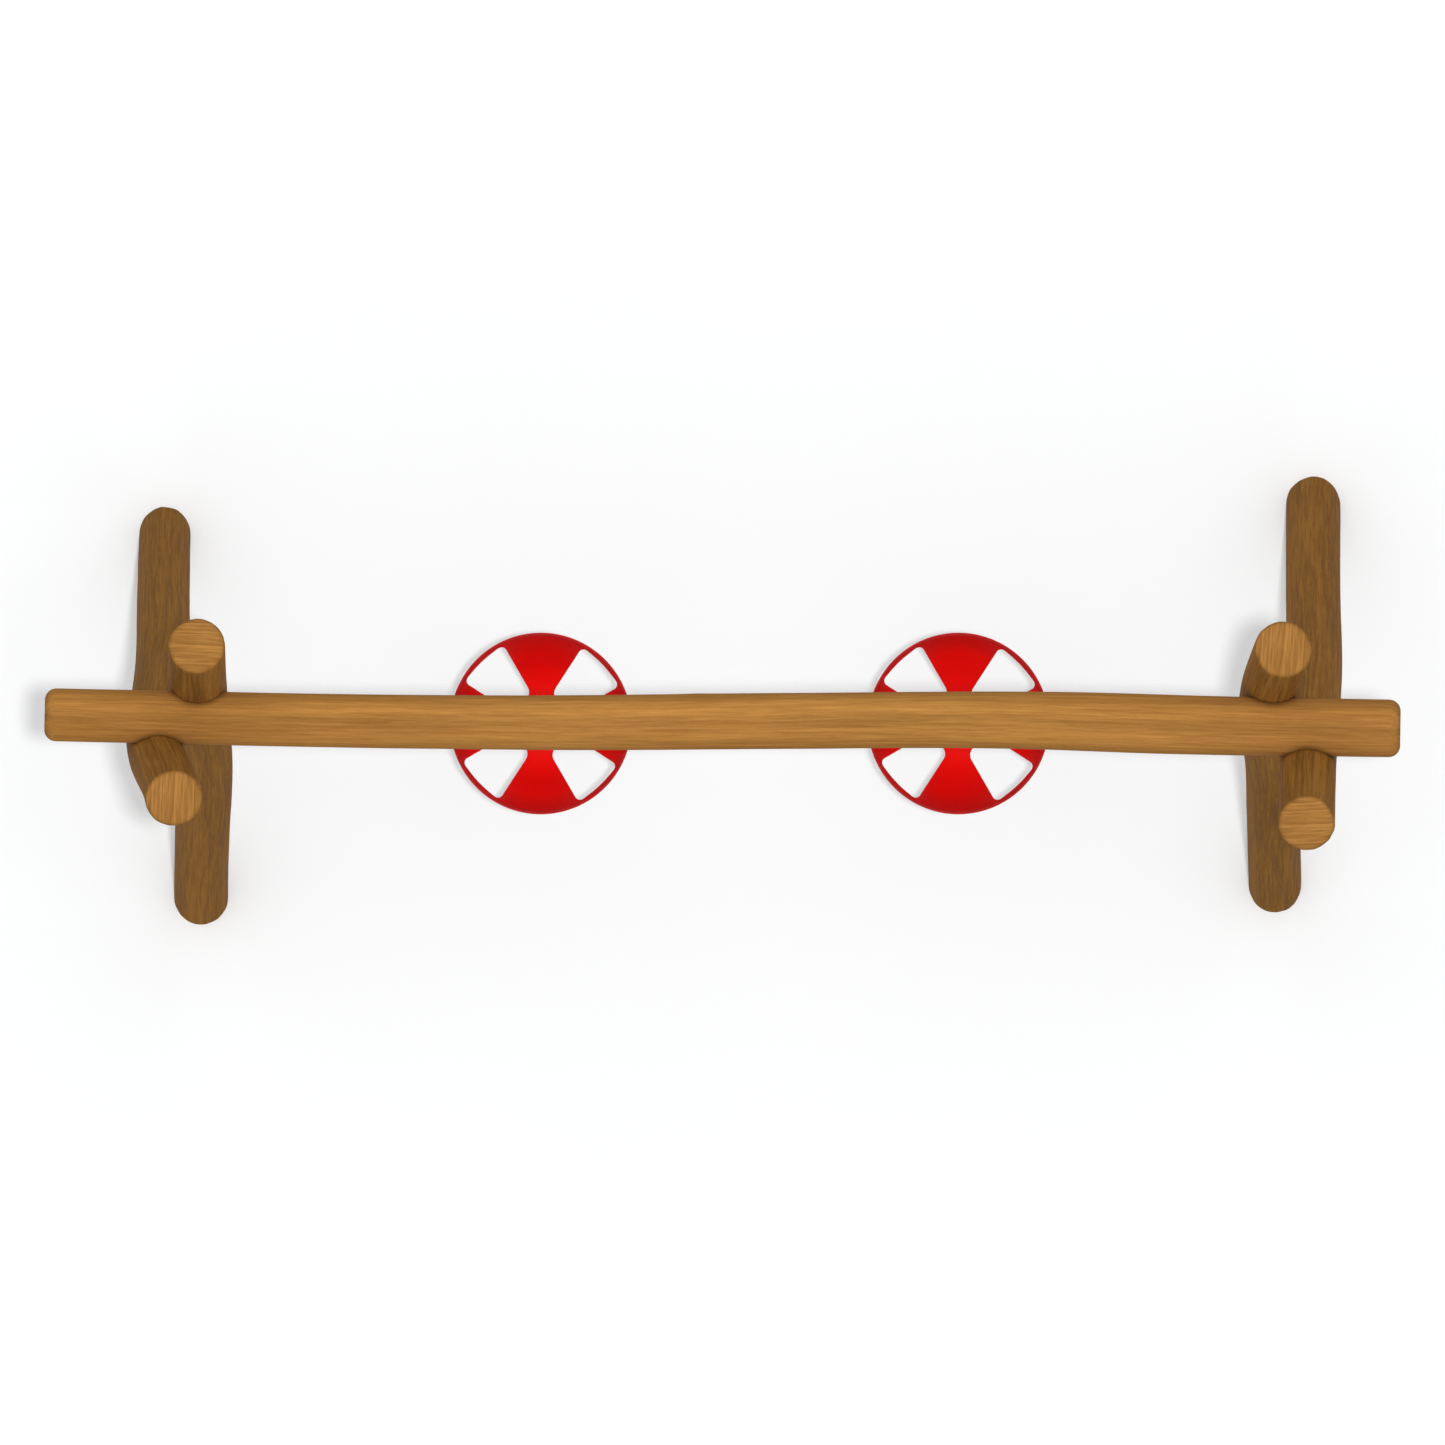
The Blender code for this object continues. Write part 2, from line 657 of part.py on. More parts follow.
def swing_hanger():
    """A barrel on the bush, with a lug for the quick link below it."""
    half_length = EAR_INNER_X - 2 * GAP
    barrel = prism("swing_hanger", (-half_length, 0, 0), (half_length, 0, 0), HANGER_RADIUS, 16)
    end_z = -LUG_DROP - LUG_RADIUS
    corners = (
        (LUG_TOP_HALF_WIDTH, -LUG_TOP_DROP),
        (-LUG_TOP_HALF_WIDTH, -LUG_TOP_DROP),
        (-LUG_RADIUS, end_z),
        (LUG_RADIUS, end_z),
    )
    outline = filleted(corners, (0, 0, NEARLY_ROUND * LUG_RADIUS, NEARLY_ROUND * LUG_RADIUS))
    front_on = Matrix(((1, 0, 0, 0), (0, 0, -1, 0), (0, 1, 0, 0), (0, 0, 0, 1)))
    lug = slab("lug", outline, LUG_THICKNESS, front_on)
    hanger = joined(barrel, lug)
    bore = prism("bore", (-0.05, 0, 0), (0.05, 0, 0), BUSH_RADIUS + GAP, 16)
    link_hole = prism("hole", (0, -0.02, -LUG_DROP), (0, 0.02, -LUG_DROP), LUG_HOLE_RADIUS)
    return cut(hanger, bore, link_hole)


def quick_link():
    """An oval ring in the YZ plane, with its sleeve nut closed. Its top rod is at the origin."""
    upper, lower = -LINK_HALF_WIDTH, -LINK_LENGTH + LINK_HALF_WIDTH
    route = arc((0, upper), LINK_HALF_WIDTH, math.pi, 0, 6)
    route += arc((0, lower), LINK_HALF_WIDTH, 0, -math.pi, 6)
    rings = [Vector((0, y, z, LINK_ROD_RADIUS)) for y, z in route]
    ring = tube("quick_link", rings, 6, closed=True)
    start = (0, LINK_HALF_WIDTH, upper - OVERLAP)
    end = (0, LINK_HALF_WIDTH, lower + OVERLAP)
    return joined(ring, hexagon("sleeve_nut", start, end, SLEEVE_NUT_WIDTH))


def shackle():
    """A bow in the XZ plane that stands above its pin's centre."""
    crown_centre = SHACKLE_LENGTH - SHACKLE_LEG_OFFSET
    route = [(SHACKLE_LEG_OFFSET, 0.0)]
    route += arc((0, crown_centre), SHACKLE_LEG_OFFSET, 0, math.pi, 6)
    route += [(-SHACKLE_LEG_OFFSET, 0.0)]
    bow = tube("bow", [Vector((x, 0, z, SHACKLE_ROD_RADIUS)) for x, z in route], 6)
    inner = SHACKLE_LEG_OFFSET - SHACKLE_ROD_RADIUS
    outer = SHACKLE_LEG_OFFSET + SHACKLE_ROD_RADIUS
    eyes = [
        prism("eye", (side * inner, 0, 0), (side * outer, 0, 0), SHACKLE_EYE_RADIUS)
        for side in (-1, 1)
    ]
    pin_hole = prism("hole", (-0.03, 0, 0), (0.03, 0, 0), SHACKLE_PIN_RADIUS + GAP)
    return cut(joined(bow, *eyes), pin_hole)


def shackle_pin():
    """The pin along X, with its collar against one eye."""
    outer = SHACKLE_LEG_OFFSET + SHACKLE_ROD_RADIUS
    collar = outer + GAP
    profile = [
        (0, collar + SHACKLE_COLLAR_THICKNESS),
        (SHACKLE_COLLAR_RADIUS, collar + SHACKLE_COLLAR_THICKNESS),
        (SHACKLE_COLLAR_RADIUS, collar),
        (SHACKLE_PIN_RADIUS, collar),
        (SHACKLE_PIN_RADIUS, -outer - SHACKLE_PIN_PAST_EYE),
        (0, -outer - SHACKLE_PIN_PAST_EYE),
    ]
    return turned("pin", profile, 10, pointing((0, 0, 0), ALONG_X))


def chain(outward):
    """The space that a short-link chain takes, as a plain bar of the chain's weight.

    It runs between the quick link and the shackle's crown, and leans outwards to the hanging point.
    """
    top_z = PIVOT_Z - LUG_DROP - LINK_LENGTH - LINK_ROD_RADIUS - GAP
    bottom_z = BOW_EYE[1] + SHACKLE_LENGTH + SHACKLE_ROD_RADIUS + GAP
    lean = PIVOT_HALF_SPACING - BOW_EYE[0]
    inset = CHAIN_RADIUS * lean / (top_z - bottom_z)
    return prism("chain", (0, 0, top_z - inset), (-outward * lean, 0, bottom_z + inset), CHAIN_RADIUS, 8)


def make_hanging_points(steel, plastic, swings):
    """The pieces of each hanging point, from the crossbeam down to the seat's bow."""
    # Each place is (outwards from the seat's centre, height).
    at_pivot, at_lug = (PIVOT_HALF_SPACING, PIVOT_Z), (PIVOT_HALF_SPACING, PIVOT_Z - LUG_DROP)
    # kind -> (the piece about its place, its material, its place, whether it swings)
    masters = {
        "bearing_bracket": (bearing_bracket(), steel, at_pivot, False),
        "bracket_screw": (bracket_screw(), steel, at_pivot, False),
        "pivot_bolt": (pivot_bolt(), steel, at_pivot, False),
        "bearing_bush": (bearing_bush(), plastic, at_pivot, False),
        "swing_hanger": (swing_hanger(), steel, at_pivot, True),
        "quick_link": (quick_link(), steel, at_lug, True),
        "shackle": (shackle(), steel, BOW_EYE, True),
        "shackle_pin": (shackle_pin(), steel, BOW_EYE, True),
    }
    for point, point_x in hanging_points().items():
        seat, _, end = point.split("_")
        outward = -1 if end == "left" else 1
        for kind, (master, material, (reach, z), swings_too) in masters.items():
            x = SEAT_X[seat] + outward * reach
            places = {f"{point}_{kind}": x}
            if kind == "bracket_screw":
                places = {f"{point}_{kind}_{i}": x + s * PLATE_SCREW_X for i, s in ((1, -1), (2, 1))}
            for name, place_x in places.items():
                at = Matrix.Translation((place_x, AXIS_Y, z)) @ master.matrix_world
                piece = finished(copied(master, name, at), name, material)
                if swings_too:
                    ride(piece, swings[seat])
        links = chain(outward)
        links.matrix_world = Matrix.Translation((point_x, AXIS_Y, 0)) @ links.matrix_world
        ride(finished(links, point + "_chain", steel), swings[seat])
    for master, *_rest in masters.values():
        bpy.data.objects.remove(master, do_unlink=True)


# ---------------------------------------------------------------- seats


def bowl_radius(below_rim):
    """The inner radius of the bowl at a depth below its rim."""
    return BOWL_RIM_RADIUS * (1 - below_rim / BOWL_DEPTH) ** (1 / BOWL_POWER)


def bowl_slope(below_rim):
    """The angle of the bowl's wall above the horizontal, at a depth below its rim."""
    share = bowl_radius(below_rim) / BOWL_RIM_RADIUS
    return math.atan(BOWL_DEPTH * BOWL_POWER / BOWL_RIM_RADIUS * share ** (BOWL_POWER - 1))


def wall_frame(below_rim, y):
    """A matrix on the bowl's outer face at a depth and a y: Z points out of the wall, Y up it."""
    slope = bowl_slope(below_rim)
    radius = bowl_radius(below_rim) + BOWL_THICKNESS * math.sin(slope)
    turn = Matrix.Rotation(math.asin(y / radius), 4, "Z")
    height = RIM_Z - below_rim - BOWL_THICKNESS * math.cos(slope)
    out = Vector((math.sin(slope), 0, -math.cos(slope)))
    up = Vector((math.cos(slope), 0, math.sin(slope)))
    across = up.cross(out)
    axes = Matrix((across, up, out)).transposed().to_4x4()
    return turn @ Matrix.Translation((radius, 0, height)) @ axes


def seat_bowl():
    """The moulded bowl with its lip, its four openings and the holes of the bows' rivets."""
    inner, outer = [], []
    for row in range(BOWL_ROWS + 1):
        share = row / BOWL_ROWS
        below_rim = BOWL_DEPTH * (1 - share**BOWL_POWER)
        slope = bowl_slope(below_rim) if row else 0.0
        radius, height = BOWL_RIM_RADIUS * share, RIM_Z - below_rim
        inner.append((radius, height))
        wall = BOWL_THICKNESS
        outer.append((radius + wall * math.sin(slope), height - wall * math.cos(slope)))
    lip_under = RIM_Z - LIP_THICKNESS
    wall_top = BOWL_RIM_RADIUS + BOWL_THICKNESS * math.sin(bowl_slope(LIP_THICKNESS))
    lip = [(LIP_RADIUS - LIP_CHAMFER, RIM_Z), (LIP_RADIUS, RIM_Z - LIP_CHAMFER)]
    lip += [(LIP_RADIUS, lip_under), (wall_top - LIP_CORNER, lip_under)]
    profile = inner + lip + outer[-2::-1]
    bowl = turned("bowl", profile, BOWL_STEPS)
    cutters = []
    for quadrant in range(4):
        mirror_x = -1 if quadrant in (1, 2) else 1
        mirror_y = -1 if quadrant in (2, 3) else 1
        corners = [(mirror_x * x, mirror_y * y) for x, y in OPENING_CORNERS]
        at = Matrix.Translation((0, 0, RIM_Z - BOWL_DEPTH / 2)) @ Matrix.Rotation(OPENING_TURN, 4, "Z")
        cutters.append(slab("opening", filleted(corners, OPENING_FILLETS), BOWL_DEPTH + 0.1, at))
    for turn in (0, math.pi):
        for side in (-1, 1):
            frame = Matrix.Rotation(turn, 4, "Z") @ wall_frame(RIVET_BELOW_RIM, side * BOW_FOOT_Y)
            start, end = frame @ Vector((0, 0, -0.03)), frame @ Vector((0, 0, 0.03))
            cutters.append(prism("hole", start, end, RIVET_RADIUS + GAP))
    return cut(bowl, *cutters)


def rim_hoop():
    """A round bar bent into a ring, outside the bowl and under its lip."""
    height = RIM_Z - LIP_THICKNESS - GAP - HOOP_ROD_RADIUS
    centre = LIP_RADIUS - HOOP_ROD_RADIUS
    bpy.ops.mesh.primitive_torus_add(
        location=(0, 0, height),
        major_radius=centre,
        minor_radius=HOOP_ROD_RADIUS,
        major_segments=BOWL_STEPS,
        minor_segments=6,
    )
    return bpy.context.object


def set_rivet(frame):
    """A rivet through the wall: its low head inside the bowl, and its set end outside the tab."""
    inside = -BOWL_THICKNESS - RIVET_STAND_OFF
    outside = TAB_STAND_OFF + TAB_SIZE[2]
    profile = [
        (0, outside + RIVET_SET_END_HEIGHT),
        (RIVET_SET_END_RADIUS, outside + RIVET_SET_END_HEIGHT / 3),
        (RIVET_RADIUS, outside - OVERLAP),
        (RIVET_RADIUS, inside),
        (RIVET_HEAD_RADIUS, inside),
        (0.7 * RIVET_HEAD_RADIUS, inside - 0.8 * RIVET_HEAD_HEIGHT),
        (0, inside - RIVET_HEAD_HEIGHT),
    ]
    return turned("rivet", profile, 8, frame)


def seat_bow():
    """The bow at the seat's +X side: an eye, and two arms that end in tabs riveted to the wall."""
    eye_x, eye_z = BOW_EYE
    half = BOW_EYE_HALF_WIDTH
    bow = prism("bow", (eye_x - half, 0, eye_z), (eye_x + half, 0, eye_z), BOW_EYE_RADIUS)
    pieces = []
    for side in (-1, 1):
        knots = [Vector((eye_x + x, side * y, eye_z - below)) for x, y, below in BOW_ARM_BENDS]
        lip_x, lip_below = BOW_ARM_AT_LIP
        knots.append(Vector((eye_x + lip_x, side * BOW_FOOT_Y, RIM_Z - lip_below)))
        for below_rim, off_wall in BOW_ARM_ON_WALL:
            knots.append(wall_frame(below_rim, side * BOW_FOOT_Y) @ Vector((0, 0, off_wall)))
        rings = [Vector((*knot, BOW_ROD_RADIUS)) for knot in smooth_through(knots, 2)]
        pieces.append(tube("arm", rings, 6))
        tab = box("tab", TAB_SIZE, (0, 0, 0))
        on_wall = wall_frame(TAB_BELOW_RIM, side * BOW_FOOT_Y)
        tab.matrix_world = on_wall @ Matrix.Translation((0, 0, TAB_STAND_OFF + TAB_SIZE[2] / 2))
        pieces.append(tab)
        pieces.append(set_rivet(wall_frame(RIVET_BELOW_RIM, side * BOW_FOOT_Y)))
    bow = joined(bow, *pieces)
    ends = (eye_x - 0.02, 0, eye_z), (eye_x + 0.02, 0, eye_z)
    return cut(bow, prism("hole", *ends, BOW_EYE_HOLE_RADIUS))


def make_seats(plastic, steel, pitches):
    masters = {
        "bowl": (seat_bowl(), plastic, 0),
        "rim_hoop": (rim_hoop(), steel, 0),
        "right_bow": (seat_bow(), steel, 0),
        "left_bow": (seat_bow(), steel, math.pi),
    }
    for seat, x in SEAT_X.items():
        for kind, (master, material, turn) in masters.items():
            at = Matrix.Translation((x, AXIS_Y, 0)) @ Matrix.Rotation(turn, 4, "Z")
            name = f"{seat}_seat_{kind}"
            piece = copied(master, name, at @ master.matrix_world)
            ride(finished(piece, name, material), pitches[seat])
    for master, *_rest in masters.values():
        bpy.data.objects.remove(master, do_unlink=True)


clear_scene()
SWING = make_collection("two_seat_log_swing")
wood = make_material("wood", LOG_BROWN, 0.6, 0.0)
steel = make_material("stainless_steel", STEEL_GREY, 0.35, 1.0)
red_plastic = make_material("red_plastic", SEAT_RED, 0.35, 0.0)
black_plastic = make_material("bush_plastic", BUSH_BLACK, 0.5, 0.0)

make_crossbeam(wood)
make_legs(wood)
make_crossing_bolts(steel)
make_leg_screws(steel)
swing_joints = {
    seat: joint_empty(seat + "_seat_swing", (x, AXIS_Y, PIVOT_Z)) for seat, x in SEAT_X.items()
}
pitch_joints = {
    seat: joint_empty(seat + "_seat_pitch", (x, AXIS_Y, BOW_EYE[1])) for seat, x in SEAT_X.items()
}
for seat, pitch_joint in pitch_joints.items():
    ride(pitch_joint, swing_joints[seat])
make_hanging_points(steel, black_plastic, swing_joints)
make_seats(red_plastic, steel, pitch_joints)
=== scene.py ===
"""The looks of the two-seat log swing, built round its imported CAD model.

Fine logs, moulded bowls, real chain links and finished fittings stand for the CAD nodes of the same
names. Metres, +Z up, X along the crossbeam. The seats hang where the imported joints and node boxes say.
The logs are made from the same knots and radii as in the CAD model, which are repeated here.
"""

import json
import math

import bmesh
import bpy
import numpy as np
from mathutils import Matrix, Vector, noise
from mathutils.geometry import delaunay_2d_cdt


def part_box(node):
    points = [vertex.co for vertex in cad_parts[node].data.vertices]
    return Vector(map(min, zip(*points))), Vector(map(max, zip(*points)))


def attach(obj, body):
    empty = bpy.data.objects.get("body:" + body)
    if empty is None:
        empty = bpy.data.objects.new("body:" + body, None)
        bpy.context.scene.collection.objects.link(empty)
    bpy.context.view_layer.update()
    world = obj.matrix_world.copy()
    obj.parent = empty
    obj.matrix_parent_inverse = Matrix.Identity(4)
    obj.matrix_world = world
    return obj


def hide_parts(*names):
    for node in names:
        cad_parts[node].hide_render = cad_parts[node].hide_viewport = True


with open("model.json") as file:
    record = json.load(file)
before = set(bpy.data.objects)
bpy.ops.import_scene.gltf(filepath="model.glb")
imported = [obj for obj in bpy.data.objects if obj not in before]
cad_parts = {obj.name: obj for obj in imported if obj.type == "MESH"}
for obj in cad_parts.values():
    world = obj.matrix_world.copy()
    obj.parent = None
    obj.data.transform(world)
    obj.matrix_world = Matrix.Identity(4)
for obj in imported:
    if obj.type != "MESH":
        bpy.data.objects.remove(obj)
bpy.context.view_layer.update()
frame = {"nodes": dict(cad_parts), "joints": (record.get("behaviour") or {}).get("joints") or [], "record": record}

# ---------------------------------------------------------------- sizes and places

JOINTS = {joint["name"]: joint for joint in frame["joints"]}
SEAT_X = {seat: JOINTS[seat + "_seat_swing"]["pos_m"][0] for seat in ("left", "right")}
AXIS_Y = JOINTS["left_seat_swing"]["pos_m"][1]
PIVOT_Z = JOINTS["left_seat_swing"]["pos_m"][2]
EYE_Z = JOINTS["left_seat_pitch"]["pos_m"][2]

ALONG_X = Vector((1.0, 0.0, 0.0))

# Crossbeam: (x, y from the swing axis, radius) along the log.
BEAM_Z = 2.40
BEAM_KNOTS = (
    (-2.00, 0.0266, 0.0780),
    (-1.42, 0.0133, 0.0785),
    (-1.00, 0.0060, 0.0800),
    (-0.50, 0.0020, 0.0812),
    (0.00, 0.0060, 0.0824),
    (0.50, 0.0110, 0.0826),
    (0.90, 0.0090, 0.0850),
    (1.20, 0.0010, 0.0876),
    (1.50, -0.0075, 0.0868),
    (2.00, -0.0147, 0.0855),
)
BEAM_END_ROUNDING = 0.034

# Legs: foot (x, y), head (x, y, z), with y from the swing axis; radii at foot and head; and the log's
# sideways bends as (share of the way up, shift along X). saw is the direction of the saw marks on
# the head, as an angle from X.
LEGS = {
    "left_rear_leg": dict(
        foot=(-1.645, 0.5605),
        head=(-1.618, -0.2240, 2.825),
        radii=(0.0750, 0.0850),
        bends=((0.25, -0.012), (0.50, -0.021), (0.79, -0.0535), (0.95, -0.008)),
        saw=math.radians(88),
    ),
    "left_front_leg": dict(
        foot=(-1.5385, -0.5103),
        head=(-1.5517, 0.2316, 2.790),
        radii=(0.0797, 0.0840),
        bends=((0.25, 0.006), (0.54, 0.018), (0.82, 0.0035)),
        saw=math.radians(-2),
    ),
    "right_rear_leg": dict(
        foot=(1.742, 0.6446),
        head=(1.7228, -0.2980, 2.870),
        radii=(0.0797, 0.0840),
        bends=((0.28, 0.0055), (0.52, 0.014), (0.80, 0.002)),
        saw=math.radians(3),
    ),
    "right_front_leg": dict(
        foot=(1.630, -0.4780),
        head=(1.656, 0.2210, 2.740),
        radii=(0.0767, 0.0855),
        bends=((0.25, -0.010), (0.52, -0.0196), (0.69, -0.043), (0.825, -0.0395), (0.93, -0.018)),
        saw=math.radians(86),
    ),
}
CROSSINGS = {
    "left": ("left_rear_leg", "left_front_leg"),
    "right": ("right_front_leg", "right_rear_leg"),
}
HEAD_ROUNDING = 0.017
HALVING_HALF_HEIGHT = 0.24
SADDLE_HALF_LENGTH = 0.26
GAP = 0.0004
# The beam's place as a share of a leg's length, and how much longer a flat is than its bracket.
BEAM_SHARE_OF_LEG = 0.85
FLAT_MARGIN = 0.012

# Bolts and screws of the frame, and the pockets for their heads.
CROSSING_BOLT_RADIUS, CROSSING_WASHER_RADIUS = 0.010, 0.022
LEG_SCREW_RADIUS, LEG_SCREW_WASHER_RADIUS = 0.008, 0.017
POCKET_MARGIN, POCKET_CUTTER_DEPTH = 0.003, 0.08
# How far a fastener stands out of its pocket's floor.
SCREW_HEAD_STAND, BOLT_END_STAND = 0.0133, 0.0260

# About a log's radius, to turn an angle about it into a distance round it.
LOG_RADIUS = 0.08
LOG_SIDES = 88
RING_SPACING = 0.010
# Height of the logs' relief: long swells, lengthwise flutes and fibre ridges.
SWELL, FLUTE, FIBRE = 0.0016, 0.0013, 0.0006
# Branch knots: (metres along the log, angle about it in degrees, radius).
BRANCH_KNOTS = {
    "crossbeam": ((0.62, 150, 0.016), (1.93, -115, 0.019), (3.12, 200, 0.014)),
    "left_rear_leg": ((0.83, -40, 0.017), (1.96, -150, 0.015)),
    "left_front_leg": ((0.55, 140, 0.015), (1.42, 35, 0.018)),
    "right_rear_leg": ((1.12, -35, 0.018), (1.75, -130, 0.014)),
    "right_front_leg": ((0.70, 130, 0.016), (1.50, 40, 0.015)),
}

# Seats.
RIM_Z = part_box("left_seat_bowl")[1].z
BOWL_DEPTH = 0.250
BOWL_RIM_RADIUS = 0.2578
BOWL_POWER = 2.7
BOWL_THICKNESS = 0.005
LIP_RADIUS = 0.268
LIP_THICKNESS = 0.004
# The lip's section, over from the wall's inner face to its outer one: (outwards, height), first from the
# bowl's rim radius, then from the lip's edge, then from the wall's outer face.
LIP_FROM_RIM = ((-0.0007, -0.0022), (-0.0001, -0.0009), (0.0010, -0.0002), (0.0028, 0.0))
LIP_FROM_EDGE = (
    (-0.0022, 0.0),
    (-0.0010, -0.0003),
    (-0.0002, -0.0011),
    (0.0, -0.0020),
    (-0.0002, -0.0029),
    (-0.0010, -0.0037),
    (-0.0022, -LIP_THICKNESS),
)
LIP_FROM_WALL = ((0.0014, -LIP_THICKNESS), (0.0004, -0.0045))
# The wall's mesh starts this far below the rim. Its outer face meets the lip a little further down.
WALL_TOP, WALL_CORNER = 0.004, 0.0075
# A leg opening in plan: its waist corners, its outer corners, and between them its bowed outer edge.
OPENING_CORNERS = (
    (0.0294, 0.0859),
    (0.1169, 0.2284),
    (0.1788, 0.1788),
    (0.2284, 0.1169),
    (0.0859, 0.0294),
)
OPENING_FILLETS = (0.028, 0.016, 0.35, 0.016, 0.028)
OPENING_TURN = math.radians(-1.5)
BOWL_STEPS = 240
BOWL_GRID = 0.007

# Bows, hoops, links and shackles.
HOOP_ROD_RADIUS = 0.0042
BOW_EYE = (0.275, 0.845)
BOW_ROD_RADIUS = 0.0048
BOW_EYE_RADIUS = 0.010
BOW_EYE_HALF_WIDTH = 0.005
BOW_EYE_HOLE_RADIUS = 0.0046
BOW_FOOT_Y = 0.0595
TAB_SIZE = (0.022, 0.044, 0.005)
TAB_STAND_OFF = 0.0006
TAB_BELOW_RIM = 0.050
RIVET_BELOW_RIM = 0.061
RIVET_RADIUS = 0.004
RIVET_STAND_OFF = 0.0019
# A rivet's ends as (radius, height): its set end from the tab's face, and its head from its own underside.
RIVET_SET_END = ((0, 0.0030), (0.0025, 0.0028), (0.0050, 0.0020), (0.0064, 0.0008), (0.0066, -0.0001))
RIVET_HEAD = ((0.0085, 0), (0.0084, -0.0008), (0.0070, -0.0020), (0.0040, -0.0028), (0, -0.0030))
WELD_BEADS, WELD_BEAD_SPACING = 9, 0.0022
WELD_BEAD = ((0, 0.0013), (0.0012, 0.0011), (0.0020, 0.0005), (0.0022, -0.0004), (0, -0.0006))
HOOP_WELD_BULGE = 0.045
PIVOT_HALF_SPACING = 0.311
HANGER_HALF_LENGTH = 0.0197
HANGER_RADIUS = 0.016
HANGER_BORE_RADIUS = 0.0103
LUG_THICKNESS = 0.008
LUG_RADIUS = 0.015
LUG_DROP = 0.037
LUG_HOLE_RADIUS = 0.0065
LINK_ROD_RADIUS = 0.004
LINK_HALF_WIDTH = 0.0115
LINK_LENGTH = 0.040
SHACKLE_ROD_RADIUS = 0.004
SHACKLE_LEG_OFFSET = 0.0095
SHACKLE_LENGTH = 0.034
SHACKLE_EYE_RADIUS = 0.009
SHACKLE_PIN_RADIUS = 0.004
SHACKLE_COLLAR_RADIUS = 0.0065
SHACKLE_COLLAR_THICKNESS = 0.004

# Chains: a 6 mm short-link chain.
CHAIN_WIRE_RADIUS = 0.003
CHAIN_INNER_WIDTH = 0.008
CHAIN_LINKS = 72


# ---------------------------------------------------------------- objects


def linked(name, mesh):
    """A new object of the mesh, in the scene."""
    obj = bpy.data.objects.new(name, mesh)
    bpy.context.scene.collection.objects.link(obj)
    return obj


def mesh_piece(name, verts, faces):
    mesh = bpy.data.meshes.new(name)
    mesh.from_pydata([tuple(v) for v in verts], [], faces)
    mesh.validate()
    return linked(name, mesh)


def from_bmesh(name, shape):
    """An object of the bmesh, which goes."""
    mesh = bpy.data.meshes.new(name)
    shape.to_mesh(mesh)
    shape.free()
    return linked(name, mesh)


def placed_copy(name, master, matrix):
    piece = linked(name, master.data.copy())
    piece.data.transform(matrix)
    return piece


def remove(obj):
    bpy.data.objects.remove(obj, do_unlink=True)


def applied(obj):
    """The object with its modifiers applied, and its transform in the mesh."""
    bpy.context.view_layer.update()
    mesh = bpy.data.meshes.new_from_object(obj.evaluated_get(bpy.context.evaluated_depsgraph_get()))
    mesh.transform(obj.matrix_world)
    name = obj.name
    remove(obj)
    return linked(name, mesh)


def cut(base, *cutters):
    """The base less the cutters, which go."""
    for cutter in cutters:
        modifier = base.modifiers.new("cut", "BOOLEAN")
        modifier.operation = "DIFFERENCE"
        modifier.solver = "EXACT"
        modifier.object = cutter
    base = applied(base)
    for cutter in cutters:
        remove(cutter)
    return base


def joined(name, pieces):
    """One object of several closed shells."""
    merged = bmesh.new()
    for piece in pieces:
        if piece.modifiers:
            piece = applied(piece)
        merged.from_mesh(piece.data)
        remove(piece)
    return from_bmesh(name, merged)


def facing_out(obj):
    """The object with all its faces turned outwards."""
    shape = bmesh.new()
    shape.from_mesh(obj.data)
    bmesh.ops.recalc_face_normals(shape, faces=shape.faces)
    shape.to_mesh(obj.data)
    shape.free()
    return obj


def vertex_places(obj):
    """The object's vertices, as rows of x, y and z."""
    co = np.empty(len(obj.data.vertices) * 3)
    obj.data.vertices.foreach_get("co", co)
    return co.reshape(-1, 3)


def write_attributes(obj, arrays):
    """Writes arrays that hold one number, or three, for every vertex."""
    for name, values in arrays.items():
        kind, field = ("FLOAT", "value") if values.ndim == 1 else ("FLOAT_VECTOR", "vector")
        layer = obj.data.attributes.new(name, kind, "POINT")
        layer.data.foreach_set(field, np.ascontiguousarray(values, np.float32).ravel())


def finished(obj, material, sharp_angle=35):
    obj.data.materials.clear()
    obj.data.materials.append(material)
    obj.data.shade_smooth()
    obj.data.set_sharp_from_angle(angle=math.radians(sharp_angle))


def stand_for(obj, node, body, material, sharp_angle=35):
    """The piece, finished, takes a CAD node's place: it rides on its body, and has its material slot."""
    finished(obj, material, sharp_angle)
    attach(obj, body)
    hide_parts(node)


def circle(count):
    """Points of the unit circle."""
    angles = [2 * math.pi * k / count for k in range(count)]
    return [(math.cos(angle), math.sin(angle)) for angle in angles]


def quads_between(rings, sides, closed=False):
    """The faces of a tube whose vertices come ring by ring. A closed one goes back to its first ring."""
    faces = []
    for ring in range(rings if closed else rings - 1):
        for k in range(sides):
            pair = (ring * sides + k, ring * sides + (k + 1) % sides)
            faces.append((*pair, *((i + sides) % (rings * sides) for i in reversed(pair))))
    return faces


def sides_of(outline):
    """Each point of a closed outline with the next one."""
    return zip(outline, outline[1:] + outline[:1])


# ---------------------------------------------------------------- node materials


